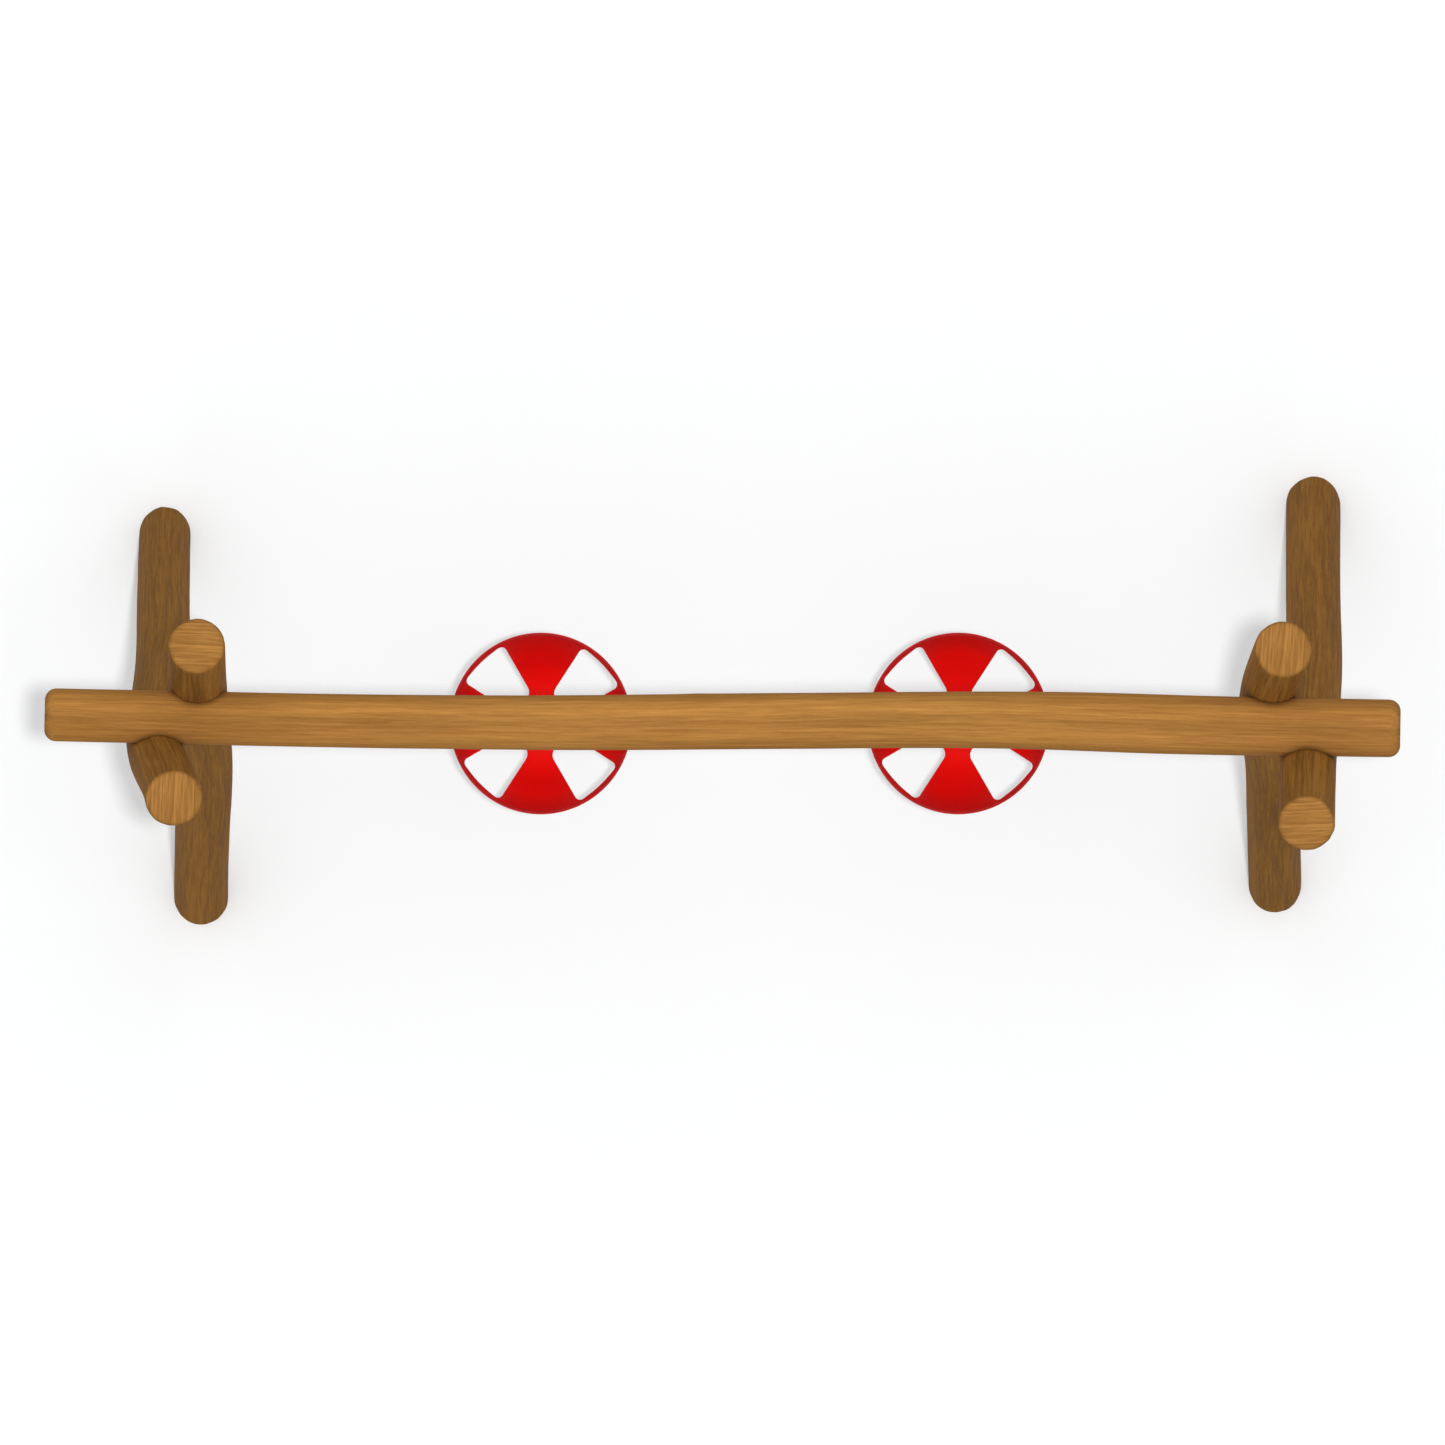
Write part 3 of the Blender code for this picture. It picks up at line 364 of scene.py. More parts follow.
class Nodes:
    """A node tree, with a method for each kind of node."""

    def __init__(self, tree):
        self.tree = tree

    def feed(self, socket, value):
        if isinstance(value, bpy.types.NodeSocket):
            self.tree.links.new(value, socket)
        else:
            socket.default_value = value

    def node(self, kind, output, settings, sockets):
        node = self.tree.nodes.new("ShaderNode" + kind)
        for key, value in settings.items():
            setattr(node, key, value)
        for identifier, value in sockets.items():
            self.feed(next(s for s in node.inputs if s.identifier == identifier), value)
        return next(s for s in node.outputs if s.identifier == output)

    def attribute(self, name, output="Vector"):
        return self.node("Attribute", output, {"attribute_name": name}, {})

    def place(self):
        return self.node("TexCoord", "Object", {}, {})

    def scaled(self, vector, *scale):
        sockets = {"Vector": vector, "Vector_001": scale}
        return self.node("VectorMath", "Vector", {"operation": "MULTIPLY"}, sockets)

    def noise(self, vector, scale=1.0, detail=2.0, roughness=0.5, distortion=0.0):
        sockets = {"Vector": vector, "Scale": scale, "Detail": detail}
        sockets |= {"Roughness": roughness, "Distortion": distortion}
        return self.node("TexNoise", "Fac", {}, sockets)

    def math(self, operation, *values):
        names = ("Value", "Value_001", "Value_002")
        return self.node("Math", "Value", {"operation": operation}, dict(zip(names, values)))

    def times(self, value, factor):
        return self.math("MULTIPLY", value, factor)

    def times_plus(self, value, factor, added):
        return self.math("MULTIPLY_ADD", value, factor, added)

    def ranged(self, value, start, end, low=0.0, high=1.0, kind="SMOOTHSTEP"):
        """value, from start to end, as low to high."""
        sockets = {"Value": value, "From Min": start, "From Max": end}
        sockets |= {"To Min": low, "To Max": high}
        return self.node("MapRange", "Result", {"interpolation_type": kind}, sockets)

    def mixed(self, share, first, second, blend="MIX"):
        settings = {"data_type": "RGBA", "blend_type": blend}
        sockets = {"Factor_Float": share, "A_Color": first, "B_Color": second}
        return self.node("Mix", "Result_Color", settings, sockets)

    def ramp(self, value, *stops):
        """A colour ramp with stops (position, linear colour)."""
        output = self.node("ValToRGB", "Color", {}, {"Fac": value})
        elements = output.node.color_ramp.elements
        while len(elements) < len(stops):
            elements.new(0.5)
        for element, (position, colour) in zip(elements, stops):
            element.position = position
            element.color = (*colour, 1.0)
        return output


class Material(Nodes):
    """A node material with one Principled shader."""

    def __init__(self, name, **uniform):
        self.material = bpy.data.materials.new(name)
        self.material.use_nodes = True
        super().__init__(self.material.node_tree)
        self.shader = self.tree.nodes["Principled BSDF"]
        for socket, value in uniform.items():
            self.shader.inputs[socket.replace("_", " ")].default_value = value

    def bump(self, height, distance, strength):
        sockets = {"Height": height, "Distance": distance, "Strength": strength}
        self.feed(self.shader.inputs["Normal"], self.node("Bump", "Normal", {}, sockets))

    def colour(self, value):
        self.feed(self.shader.inputs["Base Color"], value)

    def roughness(self, value):
        self.feed(self.shader.inputs["Roughness"], value)


def wood_material(name, side, end, bands=0.6, streaking=1.3):
    """Smooth, peeled log wood. side and end are each (dark, middle, light) colours.

    The vertex attributes say where it is on its log: grain for noise that runs along the log, saw for
    the marks on a sawn end, pith for the distance from the growth rings' centre, end for how much of a
    sawn end it is, shade for broad light and dark with painted shade at the beam's edges and where logs
    meet, knot for the branch knots, and sheltered for where drying checks may show.
    """
    wood = Material(name, Specular_IOR_Level=0.02)
    grain, saw = wood.attribute("grain"), wood.attribute("saw")
    end_share, shade = wood.attribute("end", "Fac"), wood.attribute("shade", "Fac")
    knot, sheltered = wood.attribute("knot", "Fac"), wood.attribute("sheltered", "Fac")

    def tone_of(*parts):
        """0.5 plus each noise's swing about 0.5, times its strength."""
        tone = 0.5 - 0.5 * sum(strength for _, strength in parts)
        for value, strength in parts:
            tone = wood.times_plus(value, strength, tone)
        return tone

    broad = wood.noise(wood.scaled(grain, 0.6, 17, 17))
    streaks = wood.noise(wood.scaled(grain, 3.2, 110, 110), detail=5, roughness=0.66, distortion=0.04)
    fibres = wood.noise(wood.scaled(grain, 11, 430, 430), detail=3, roughness=0.6)
    tone = tone_of((broad, bands), (streaks, streaking), (fibres, 0.55))
    colour = wood.ramp(tone, (0.30, side[0]), (0.50, side[1]), (0.70, side[2]))
    # Short dark pores, and long fine drying checks where the mask lets them be.
    pores = wood.ranged(wood.noise(wood.scaled(grain, 34, 1000, 1000), detail=1), 0.60, 0.74, 0.0, 0.30)
    colour = wood.mixed(pores, colour, (*side[0], 1.0))
    lines = wood.noise(wood.scaled(grain, 1.5, 30, 30), detail=2, distortion=0.25)
    lines = wood.ranged(wood.math("ABSOLUTE", wood.math("SUBTRACT", lines, 0.5)), 0.0016, 0.0075, 1.0, 0.0)
    mask = wood.ranged(wood.noise(wood.scaled(grain, 1.1, 8, 8)), 0.55, 0.62)
    checks = wood.times(wood.times(lines, mask), sheltered)
    colour = wood.mixed(wood.times(checks, 0.62), colour, (0.045, 0.020, 0.007, 1.0))
    # Knots: a dark heart, with rings round it that the streaks disturb.
    phase = wood.times_plus(knot, 15.0, wood.times(streaks, 5.0))
    ringed = wood.times_plus(wood.math("SINE", phase), 0.15, 0.70)
    halo = wood.times(wood.ranged(knot, 1.9, 0.7), ringed)
    heart = [channel * 0.42 for channel in side[0]]
    colour = wood.mixed(wood.times(halo, 0.75), colour, (*heart, 1.0))
    # The sawn ends.
    marks = wood.noise(wood.scaled(saw, 5, 120, 0), detail=4, roughness=0.62, distortion=0.04)
    swathes = wood.noise(wood.scaled(saw, 2, 38, 0))
    fine = wood.noise(wood.scaled(saw, 16, 520, 0), detail=3, roughness=0.6)
    pith = wood.node("VectorMath", "Value", {"operation": "LENGTH"}, {"Vector": wood.attribute("pith")})
    ring_phase = wood.times_plus(pith, 1450.0, wood.times(broad, 22.0))
    rings = wood.times_plus(wood.math("SINE", ring_phase), 0.5, 0.5)
    end_tone = tone_of((marks, 1.2), (swathes, 0.55), (fine, 0.5), (rings, 0.05))
    end_colour = wood.ramp(end_tone, (0.30, end[0]), (0.50, end[1]), (0.70, end[2]))
    colour = wood.mixed(end_share, colour, end_colour)
    wood.colour(wood.mixed(1.0, colour, shade, "MULTIPLY"))
    wood.roughness(wood.ranged(streaks, 0.3, 0.7, 0.55, 0.72))
    height = wood.times_plus(fibres, 0.45, wood.times(streaks, 0.9))
    height = wood.math("SUBTRACT", height, wood.times_plus(checks, 1.4, pores))
    sawn_height = wood.times_plus(marks, 1.1, wood.times(fine, 0.5))
    wood.bump(wood.mixed(end_share, height, sawn_height), 0.0009, 0.7)
    return wood.material


def steel_material(name, colour, roughness, lines):
    """Satin steel: fine lines across one axis, a little tea staining, and patches worn smooth."""
    steel = Material(name, Metallic=1.0)
    place = steel.place()
    brushed = steel.noise(steel.scaled(place, *lines), detail=3, roughness=0.65)
    patches = steel.noise(place, 60, detail=4, roughness=0.6)
    stain = steel.ranged(steel.noise(place, 24, detail=5, roughness=0.7), 0.60, 0.80, 0.0, 0.30)
    shade = steel.ranged(brushed, 0.25, 0.75, 0.88, 1.05, "LINEAR")
    base = steel.mixed(1.0, (*colour, 1.0), shade, "MULTIPLY")
    steel.colour(steel.mixed(stain, base, (0.30, 0.24, 0.19, 1.0)))
    rough = steel.ranged(patches, 0.35, 0.68, roughness - 0.08, roughness + 0.10)
    steel.roughness(steel.times_plus(stain, 0.25, rough))
    steel.bump(steel.times_plus(patches, 0.6, brushed), 0.00012, 0.5)
    return steel.material


def red_plastic_material():
    """Moulded red plastic: a fine moulded skin, faint flow bands, scuffs, painted shade on the lip and the upper
    inner wall, a worn edge.
    """
    red = Material("red_plastic", Specular_IOR_Level=0.09)
    place = red.place()
    worn, rim_shade = red.attribute("worn", "Fac"), red.attribute("rim_shade", "Fac")
    flow = red.noise(red.scaled(place, 3, 3, 9))
    skin = red.noise(place, 1500)
    orange_peel = red.noise(place, 180, detail=3)
    patches = red.noise(place, 95, detail=4, roughness=0.6)
    scuffs = red.ranged(red.noise(red.scaled(place, 60, 480, 200), detail=4, roughness=0.7), 0.60, 0.75)
    colour = red.mixed(red.ranged(flow, 0.3, 0.7), (0.765, 0.0032, 0.0020, 1), (0.850, 0.0042, 0.0027, 1))
    # Painted shade: darker red on the lip and the steep upper part of the inner wall.
    painted_rim_shade = red.times(rim_shade, red.ranged(patches, 0.3, 0.7, 0.75, 1.0))
    colour = red.mixed(painted_rim_shade, colour, (0.30, 0.004, 0.004, 1))
    rubbed = red.times(worn, red.ranged(patches, 0.35, 0.7, 0.55, 1.0))
    colour = red.mixed(rubbed, colour, (0.52, 0.045, 0.045, 1))
    red.colour(red.mixed(red.times(scuffs, 0.08), colour, (0.80, 0.10, 0.09, 1)))
    rough = red.ranged(orange_peel, 0.3, 0.7, 0.33, 0.43)
    rough = red.times_plus(red.math("MAXIMUM", worn, rim_shade), 0.15, rough)
    red.roughness(red.times_plus(scuffs, 0.18, rough))
    height = red.times_plus(orange_peel, 1.0, red.times(skin, 0.25))
    red.bump(red.times_plus(scuffs, -0.2, height), 0.00016, 0.6)
    return red.material


def nylon_material():
    nylon = Material("bush_plastic", Specular_IOR_Level=0.35)
    place = nylon.place()
    turned_lines = nylon.noise(nylon.scaled(place, 1800, 40, 40))
    clouds = nylon.noise(place, 120, detail=3)
    nylon.colour(nylon.mixed(clouds, (0.012, 0.012, 0.014, 1), (0.035, 0.035, 0.038, 1)))
    nylon.roughness(nylon.ranged(turned_lines, 0.3, 0.7, 0.38, 0.55))
    nylon.bump(turned_lines, 0.00008, 0.6)
    return nylon.material


# ---------------------------------------------------------------- logs


def smooth_through(knots, per_span):
    """Points on one smooth curve through the knots (a Catmull-Rom curve), the knots included."""
    held = [2 * knots[0] - knots[1], *knots, 2 * knots[-1] - knots[-2]]
    points = []
    for before, start, end, after in zip(held, held[1:], held[2:], held[3:]):
        for step in range(per_span):
            t = step / per_span
            pull = (end - before) * t
            bend = (2 * before - 5 * start + 4 * end - after) * t**2
            twist = (3 * start - before - 3 * end + after) * t**3
            points.append((2 * start + pull + bend + twist) / 2)
    return [*points, knots[-1].copy()]


def softened(values, reach=25):
    """The values with their bends eased over about reach steps, and their ends kept."""
    weights = np.exp(-0.5 * (np.arange(-3 * reach, 3 * reach + 1) / (reach * 0.8)) ** 2)
    pad = 3 * reach
    before = 2 * values[0] - values[pad:0:-1]
    after = 2 * values[-1] - values[-2 : -pad - 2 : -1]
    return np.convolve(np.concatenate([before, values, after]), weights / weights.sum(), "valid")


class Log:
    """A log's centre line, radius and local axes, by the distance along it."""

    def __init__(self, name, knots):
        self.seed = 7.3 * (sorted(BRANCH_KNOTS).index(name) + 1)
        self.branches = [(s, math.radians(a), r) for s, a, r in BRANCH_KNOTS[name]]
        points = np.array([tuple(p) for p in smooth_through(knots, 60)])
        steps = np.linalg.norm(np.diff(points[:, :3], axis=0), axis=1)
        along = np.concatenate([[0.0], np.cumsum(steps)])
        self.length = along[-1]
        self.along = np.linspace(0.0, self.length, 2 + int(self.length / 0.004))
        line = np.stack([np.interp(self.along, along, points[:, k]) for k in range(4)], axis=1)
        self.line = np.stack([softened(line[:, k]) for k in range(4)], axis=1)
        ahead = np.gradient(self.line[:, :3], axis=0)
        self.ahead = ahead / np.linalg.norm(ahead, axis=1)[:, None]
        # The axis that the log mostly runs along: X for the beam, Z for a leg.
        self.lead = 0 if abs(self.ahead[0, 0]) > 0.7 else 2
        reference = np.array((0.0, 0.0, 1.0) if self.lead == 0 else (1.0, 0.0, 0.0))
        side = reference - self.ahead * (self.ahead @ reference)[:, None]
        self.side = side / np.linalg.norm(side, axis=1)[:, None]
        self.up = np.cross(self.ahead, self.side)

    def at(self, table, s):
        return np.stack([np.interp(s, self.along, table[:, k]) for k in range(table.shape[1])], axis=-1)

    def relief(self, s, angle):
        """How far the surface stands out at a distance along the log and an angle about it."""
        x, y = math.cos(angle), math.sin(angle)
        height = SWELL * noise.noise(Vector((s * 1.7 + self.seed, x * 1.3, y * 1.3)))
        height += FLUTE * noise.noise(Vector((s * 0.8 - self.seed, x * 3.4, y * 3.4)))
        height += FIBRE * noise.noise(Vector((s * 4.0 + self.seed, x * 12, y * 12)))
        for knot_s, knot_angle, radius in self.branches:
            around = (angle - knot_angle + math.pi) % (2 * math.pi) - math.pi
            apart = math.hypot((s - knot_s) * 0.8, around * LOG_RADIUS) / radius
            if apart < 5:
                swelling = 0.17 * math.exp(-((apart / 1.7) ** 2))
                height += radius * (swelling - 0.10 * math.exp(-((apart / 0.6) ** 2)))
        return height

    def mesh(self, name, roundings=(0.0, 0.0), grow=0.0, span=None):
        """A closed skin with flat ends, each with a rounding at its edge."""
        low, high = span or (0.0, self.length)
        # Rings as (place along the log, how much the radius shrinks, share of the radius left).
        count = int((high - low) / RING_SPACING)
        spread = [low + (high - low) * i / count for i in range(count + 1)]
        first, last = low + roundings[0] * 1.05, high - roundings[1] * 1.05
        stations = [(s, 0.0, 1.0) for s in spread if first <= s <= last]
        arc_steps = 7
        for end, (limit, sign) in enumerate(((low, -1), (high, 1))):
            rounding = roundings[end]
            extra = []
            if rounding:
                for step in range(arc_steps + 1):
                    turn = math.pi / 2 * step / arc_steps
                    inset, shrink = rounding * (1 - math.sin(turn)), rounding * (1 - math.cos(turn))
                    extra.append((limit - sign * inset, shrink, 1.0))
            elif abs(stations[0 if sign < 0 else -1][0] - limit) > 1e-6:
                extra.append((limit, 0.0, 1.0))
            for share in (0.9, 0.75, 0.6, 0.45, 0.3, 0.15):
                extra.append((limit, rounding, share))
            stations = extra[::-1] + stations if sign < 0 else stations + extra
        verts, faces = [], quads_between(len(stations), LOG_SIDES)
        for s, shrink, share in stations:
            centre, axis_x, axis_y = self.at(self.line, s), self.at(self.side, s), self.at(self.up, s)
            for k in range(LOG_SIDES):
                angle = 2 * math.pi * k / LOG_SIDES
                radius = (centre[3] + self.relief(s, angle) + grow - shrink) * share
                verts.append(centre[:3] + radius * (math.cos(angle) * axis_x + math.sin(angle) * axis_y))
        for ring, turn in ((0, -1), (len(stations) - 1, 1)):
            loop = range(ring * LOG_SIDES, (ring + 1) * LOG_SIDES)
            middle = len(verts)
            verts.append(np.mean([verts[i] for i in loop], axis=0))
            for a, b in zip(loop, [*loop[1:], loop[0]]):
                faces.append((a, b, middle)[::turn])
        return mesh_piece(name, verts, faces)

    def mark(self, obj, saw=0.0, shading=None, others=()):
        """Writes the attributes that the wood reads, for every vertex of a piece of this log.

        grain is (along, across, across) in metres, and bends round the branch knots; knot is the
        distance from the nearest one, in its radii. saw is grain turned to the saw marks' direction.
        """
        co = vertex_places(obj)
        s = np.interp(co[:, self.lead], self.line[:, self.lead], self.along)
        for _ in range(3):
            off = co - self.at(self.line, s)[:, :3]
            s = np.clip(s + (off * self.at(self.ahead, s)).sum(1), 0, self.length)
        off = co - self.at(self.line, s)[:, :3]
        x, y = (off * self.at(self.side, s)).sum(1), (off * self.at(self.up, s)).sum(1)
        angle, radius = np.arctan2(y, x), np.hypot(x, y)
        knot = np.full(len(co), 4.0)
        bent = angle.copy()
        for knot_s, knot_angle, size in self.branches:
            around = ((angle - knot_angle + math.pi) % (2 * math.pi) - math.pi) * LOG_RADIUS
            away = np.maximum(np.hypot((s - knot_s) * 0.6, around) / size, 1e-3)
            bent -= around / LOG_RADIUS * np.minimum(1.0, 1.2 / away**2) * np.exp(-((away / 4) ** 2))
            knot = np.minimum(knot, np.hypot(s - knot_s, around) / size)
        flow_x, flow_y = radius * np.cos(bent), radius * np.sin(bent)
        ends = np.minimum(s, self.length - s)
        end = 1 - smooth_step(ends, 0.0010, 0.0150)
        shade, sheltered = np.ones(len(co)), np.ones(len(co))
        if shading is not None:
            shade, sheltered = shading(s, off)
        else:
            # A leg leans to one side, so one side of it faces the sky.
            skyward = -math.copysign(1.0, self.ahead[len(self.ahead) // 2, 1])
            sheltered = 1 - smooth_step(off[:, 1] * skyward / radius, -0.35, 0.0)
        for other in others:
            # Painted shade: darker in the corner where two logs meet.
            gap = np.full(len(co), 1.0)
            for i in range(0, len(other.line), 2):
                gap = np.minimum(gap, np.linalg.norm(co - other.line[i, :3], axis=1) - other.line[i, 3])
            shade *= 1 - 0.40 * np.exp(-((np.maximum(gap, 0) / 0.010) ** 2))
        across, down = math.cos(saw), math.sin(saw)
        arrays = {
            "grain": np.stack([s + self.seed, flow_x, flow_y], axis=1),
            "saw": np.stack([x * across + y * down, y * across - x * down, s], axis=1),
            "pith": np.stack([np.zeros(len(co)), x - 0.011, y + 0.008], axis=1),
            "knot": knot,
            "end": end,
            "shade": shade,
            "sheltered": sheltered,
        }
        write_attributes(obj, arrays)


def smooth_step(value, low, high):
    share = np.clip((value - low) / (high - low), 0.0, 1.0)
    return share * share * (3 - 2 * share)


def beam_shading(s, off):
    """The beam from above: a dark band along its top, a light one to its rear, and painted shade at its edges."""
    radius = np.hypot(off[:, 1], off[:, 2])
    u = -off[:, 1] / radius
    wander = np.array([noise.noise(Vector((value * 1.1, 3.0, 0.0))) for value in s])
    patchy = np.array([noise.noise(Vector((value * 2.3, 9.0, 0.0))) for value in s])
    top = smooth_step(off[:, 2] / radius, 0.0, 0.25)
    dark = np.exp(-(((u - 0.05 - 0.10 * wander) / 0.27) ** 2)) * (0.17 + 0.10 * patchy)
    light = np.exp(-(((u + 0.42) / 0.20) ** 2)) * 0.07
    # Painted shade: the top's edges are darker, where the log turns away from the light above.
    edge = smooth_step(np.abs(u), 0.62, 1.0) * 0.05
    shade = 1 + top * (light - dark - edge)
    beyond = smooth_step(np.abs(s - 2.0), 1.30, 1.62)
    return shade * (1 - 0.03 * beyond), 1 - top


def beam_log():
    knots = [Vector((x, AXIS_Y + y, BEAM_Z, r)) for x, y, r in BEAM_KNOTS]
    return Log("crossbeam", knots)


def leg_log(name):
    leg = LEGS[name]
    foot = Vector((leg["foot"][0], AXIS_Y + leg["foot"][1], 0.0, leg["radii"][0]))
    head = Vector((leg["head"][0], AXIS_Y + leg["head"][1], leg["head"][2], leg["radii"][1]))
    knots = [foot + (foot - head) * 0.04, foot]
    for share, shift in leg["bends"]:
        knots.append(foot.lerp(head, share) + Vector((shift, 0.0, 0.0, 0.0)))
    return Log(name, [*knots, head])


def box(name, size, centre):
    shape = bmesh.new()
    bmesh.ops.create_cube(shape, size=1.0, matrix=Matrix.Diagonal((*size, 1.0)))
    obj = from_bmesh(name, shape)
    obj.location = centre
    return obj


def pointing(origin, direction):
    """A matrix at origin whose Z runs along direction."""
    turn = Vector(direction).to_track_quat("Z", "Y").to_matrix().to_4x4()
    return Matrix.Translation(origin) @ turn


def turned(name, profile, steps, matrix, ring=False):
    """A solid of revolution about Z. The (radius, height) profile runs down its outer side."""
    verts, faces = [], []
    loops = []
    for radius, height in profile:
        if radius < 1e-9:
            loops.append([len(verts)] * steps)
            verts.append((0.0, 0.0, height))
            continue
        loops.append(list(range(len(verts), len(verts) + steps)))
        verts += [(radius * x, radius * y, height) for x, y in circle(steps)]
    pairs = list(zip(loops, loops[1:]))
    if ring:
        pairs.append((loops[-1], loops[0]))
    for upper, lower in pairs:
        for k in range(steps):
            quad = (upper[k], lower[k], lower[(k + 1) % steps], upper[(k + 1) % steps])
            face = tuple(dict.fromkeys(quad))
            if len(face) > 2:
                faces.append(face)
    obj = mesh_piece(name, verts, faces)
    obj.data.transform(matrix)
    return obj


def crossing(pair, logs):
    """Where two legs cross: (x of the plane between them, y, z)."""
    first, second = (logs[name] for name in CROSSINGS[pair])
    a = first.line[first.line[:, 2] > 1.0]
    heights = np.interp(a[:, 2], second.line[:, 2], np.arange(len(second.line)))
    b = second.line[np.rint(heights).astype(int)]
    near = int(np.argmin(np.abs(a[:, 1] - b[:, 1])))
    a, b = a[near], b[near]
    return Vector(((a[0] + a[3] + b[0] - b[3]) / 2, (a[1] + b[1]) / 2, (a[2] + b[2]) / 2))


def fastener_ends(node, order):
    """The two ends of a screw or bolt of the frame, from its CAD node's vertices, in this order."""
    co = vertex_places(frame["nodes"][node])
    centre = co.mean(0)
    axis = np.linalg.svd(co - centre)[2][0]
    along = (co - centre) @ axis
    return sorted((Vector(centre + axis * reach) for reach in (along.min(), along.max())), key=order)


def pocket(start, inwards, shank_radius, washer_radius, length):
    """A cutter for a shank, with a flat-bottomed pocket for its washer behind start."""
    shank, wide = shank_radius + GAP, washer_radius + POCKET_MARGIN
    profile = [(0, length), (shank, length), (shank, 0), (wide, 0)]
    profile += [(wide, -POCKET_CUTTER_DEPTH), (0, -POCKET_CUTTER_DEPTH)]
    return turned("pocket", profile, 40, pointing(start, inwards))


def make_logs(beam_wood, shaded_leg_wood):
    logs = {name: leg_log(name) for name in LEGS}
    beam = beam_log()
    for pair, names in CROSSINGS.items():
        plane = crossing(pair, logs)
        bolt = fastener_ends(pair + "_crossing_bolt", lambda end: end.x)
        for side, name in zip((-1, 1), names):
            log = logs[name]
            leg = log.mesh(name + "_log", roundings=(0.0, HEAD_ROUNDING))
            ground = box("ground", (1.0, 1.0, 0.4), (*log.line[0][:2], -0.2))
            size = (0.2, 0.5, 2 * HALVING_HALF_HEIGHT)
            halving = box("halving", size, plane - side * ALONG_X * (0.1 - GAP / 2))
            at_beam = log.at(log.line, log.length * BEAM_SHARE_OF_LEG)[0]
            reach = float(np.interp(at_beam, beam.line[:, 0], beam.along))
            span = (reach - SADDLE_HALF_LENGTH, reach + SADDLE_HALF_LENGTH)
            saddle = beam.mesh("saddle", grow=GAP, span=span)
            inwards = -side * ALONG_X
            floor = bolt[0 if side < 0 else 1] + inwards * BOLT_END_STAND
            bolt_pocket = pocket(floor, inwards, CROSSING_BOLT_RADIUS, CROSSING_WASHER_RADIUS, 0.3)
            tip, head = fastener_ends(
                name + "_screw", lambda end: abs(end.z - BEAM_Z) + abs(end.y - AXIS_Y)
            )
            inwards = (tip - head).normalized()
            floor = head + inwards * SCREW_HEAD_STAND
            screw_pocket = pocket(floor, inwards, LEG_SCREW_RADIUS, LEG_SCREW_WASHER_RADIUS, 0.15)
            leg = cut(leg, ground, halving, saddle, bolt_pocket, screw_pocket)
            log.mark(leg, saw=LEGS[name]["saw"], others=[beam])
            stand_for(leg, name, "frame", shaded_leg_wood)
    piece = beam.mesh("crossbeam_log", roundings=(BEAM_END_ROUNDING, BEAM_END_ROUNDING))
    flats = []
    for seat in SEAT_X:
        for end in ("left", "right"):
            low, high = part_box(f"{seat}_seat_{end}_bearing_bracket")
            size = (high.x - low.x + FLAT_MARGIN, 0.2, 0.1)
            flats.append(box("flat", size, ((low.x + high.x) / 2, AXIS_Y, high.z + GAP - size[2] / 2)))
    piece = cut(piece, *flats)
    beam.mark(piece, shading=beam_shading, others=list(logs.values()))
    stand_for(piece, "crossbeam", "frame", beam_wood)


# ---------------------------------------------------------------- seats


def arc(centre, radius, start, end, steps):
    """Points of an arc in a plane, both ends included, with its angles in radians."""
    angles = [start + (end - start) * step / steps for step in range(steps + 1)]
    return [(centre[0] + radius * math.cos(a), centre[1] + radius * math.sin(a)) for a in angles]


def filleted(corners, fillets, steps=10, spacing=None):
    """The outline through the corners, each rounded to its fillet, with its sides cut to spacing."""
    outline = []
    for i, (corner, fillet) in enumerate(zip(corners, fillets)):
        here = Vector(corner)
        back = (Vector(corners[i - 1]) - here).normalized()
        ahead = (Vector(corners[(i + 1) % len(corners)]) - here).normalized()
        if fillet == 0:
            outline.append(tuple(here))
            continue
        half_angle = back.angle(ahead) / 2
        centre = here + (back + ahead).normalized() * fillet / math.sin(half_angle)
        first = here + back * fillet / math.tan(half_angle) - centre
        turn = first.angle_signed(here + ahead * fillet / math.tan(half_angle) - centre)
        start = math.atan2(first.y, first.x)
        outline += arc(centre, fillet, start, start - turn, steps)
    if spacing is None:
        return outline
    fine = []
    for a, b in sides_of(outline):
        pieces = max(1, round(math.dist(a, b) / spacing))
        step_x, step_y = b[0] - a[0], b[1] - a[1]
        fine += [(a[0] + step_x * k / pieces, a[1] + step_y * k / pieces) for k in range(pieces)]
    return fine


def bowl_rise(radius):
    """How steeply the bowl rises outwards at a radius."""
    return BOWL_DEPTH * BOWL_POWER / BOWL_RIM_RADIUS * (radius / BOWL_RIM_RADIUS) ** (BOWL_POWER - 1)


def bowl_point(x, y):
    """(point on the bowl's inner surface, its normal into the bowl), about the rim's centre."""
    r = math.hypot(x, y)
    out = Vector((x, y, 0.0)) / r if r > 1e-9 else Vector((0.0, 0.0, 0.0))
    point = Vector((x, y, BOWL_DEPTH * ((r / BOWL_RIM_RADIUS) ** BOWL_POWER - 1)))
    return point, (Vector((0.0, 0.0, 1.0)) - out * bowl_rise(r)).normalized()


def bowl_radius(below_rim):
    return BOWL_RIM_RADIUS * (1 - below_rim / BOWL_DEPTH) ** (1 / BOWL_POWER)


def openings():
    """The outlines of the four openings in plan."""
    result = []
    turn = Matrix.Rotation(OPENING_TURN, 2)
    for quadrant in range(4):
        mirror_x = -1 if quadrant in (1, 2) else 1
        mirror_y = -1 if quadrant in (2, 3) else 1
        corners = [(mirror_x * x, mirror_y * y) for x, y in OPENING_CORNERS]
        outline = [turn @ Vector(p) for p in filleted(corners, OPENING_FILLETS, spacing=0.0045)]
        area = sum(a.x * b.y - b.x * a.y for a, b in sides_of(outline))
        result.append(outline if area > 0 else outline[::-1])
    return result


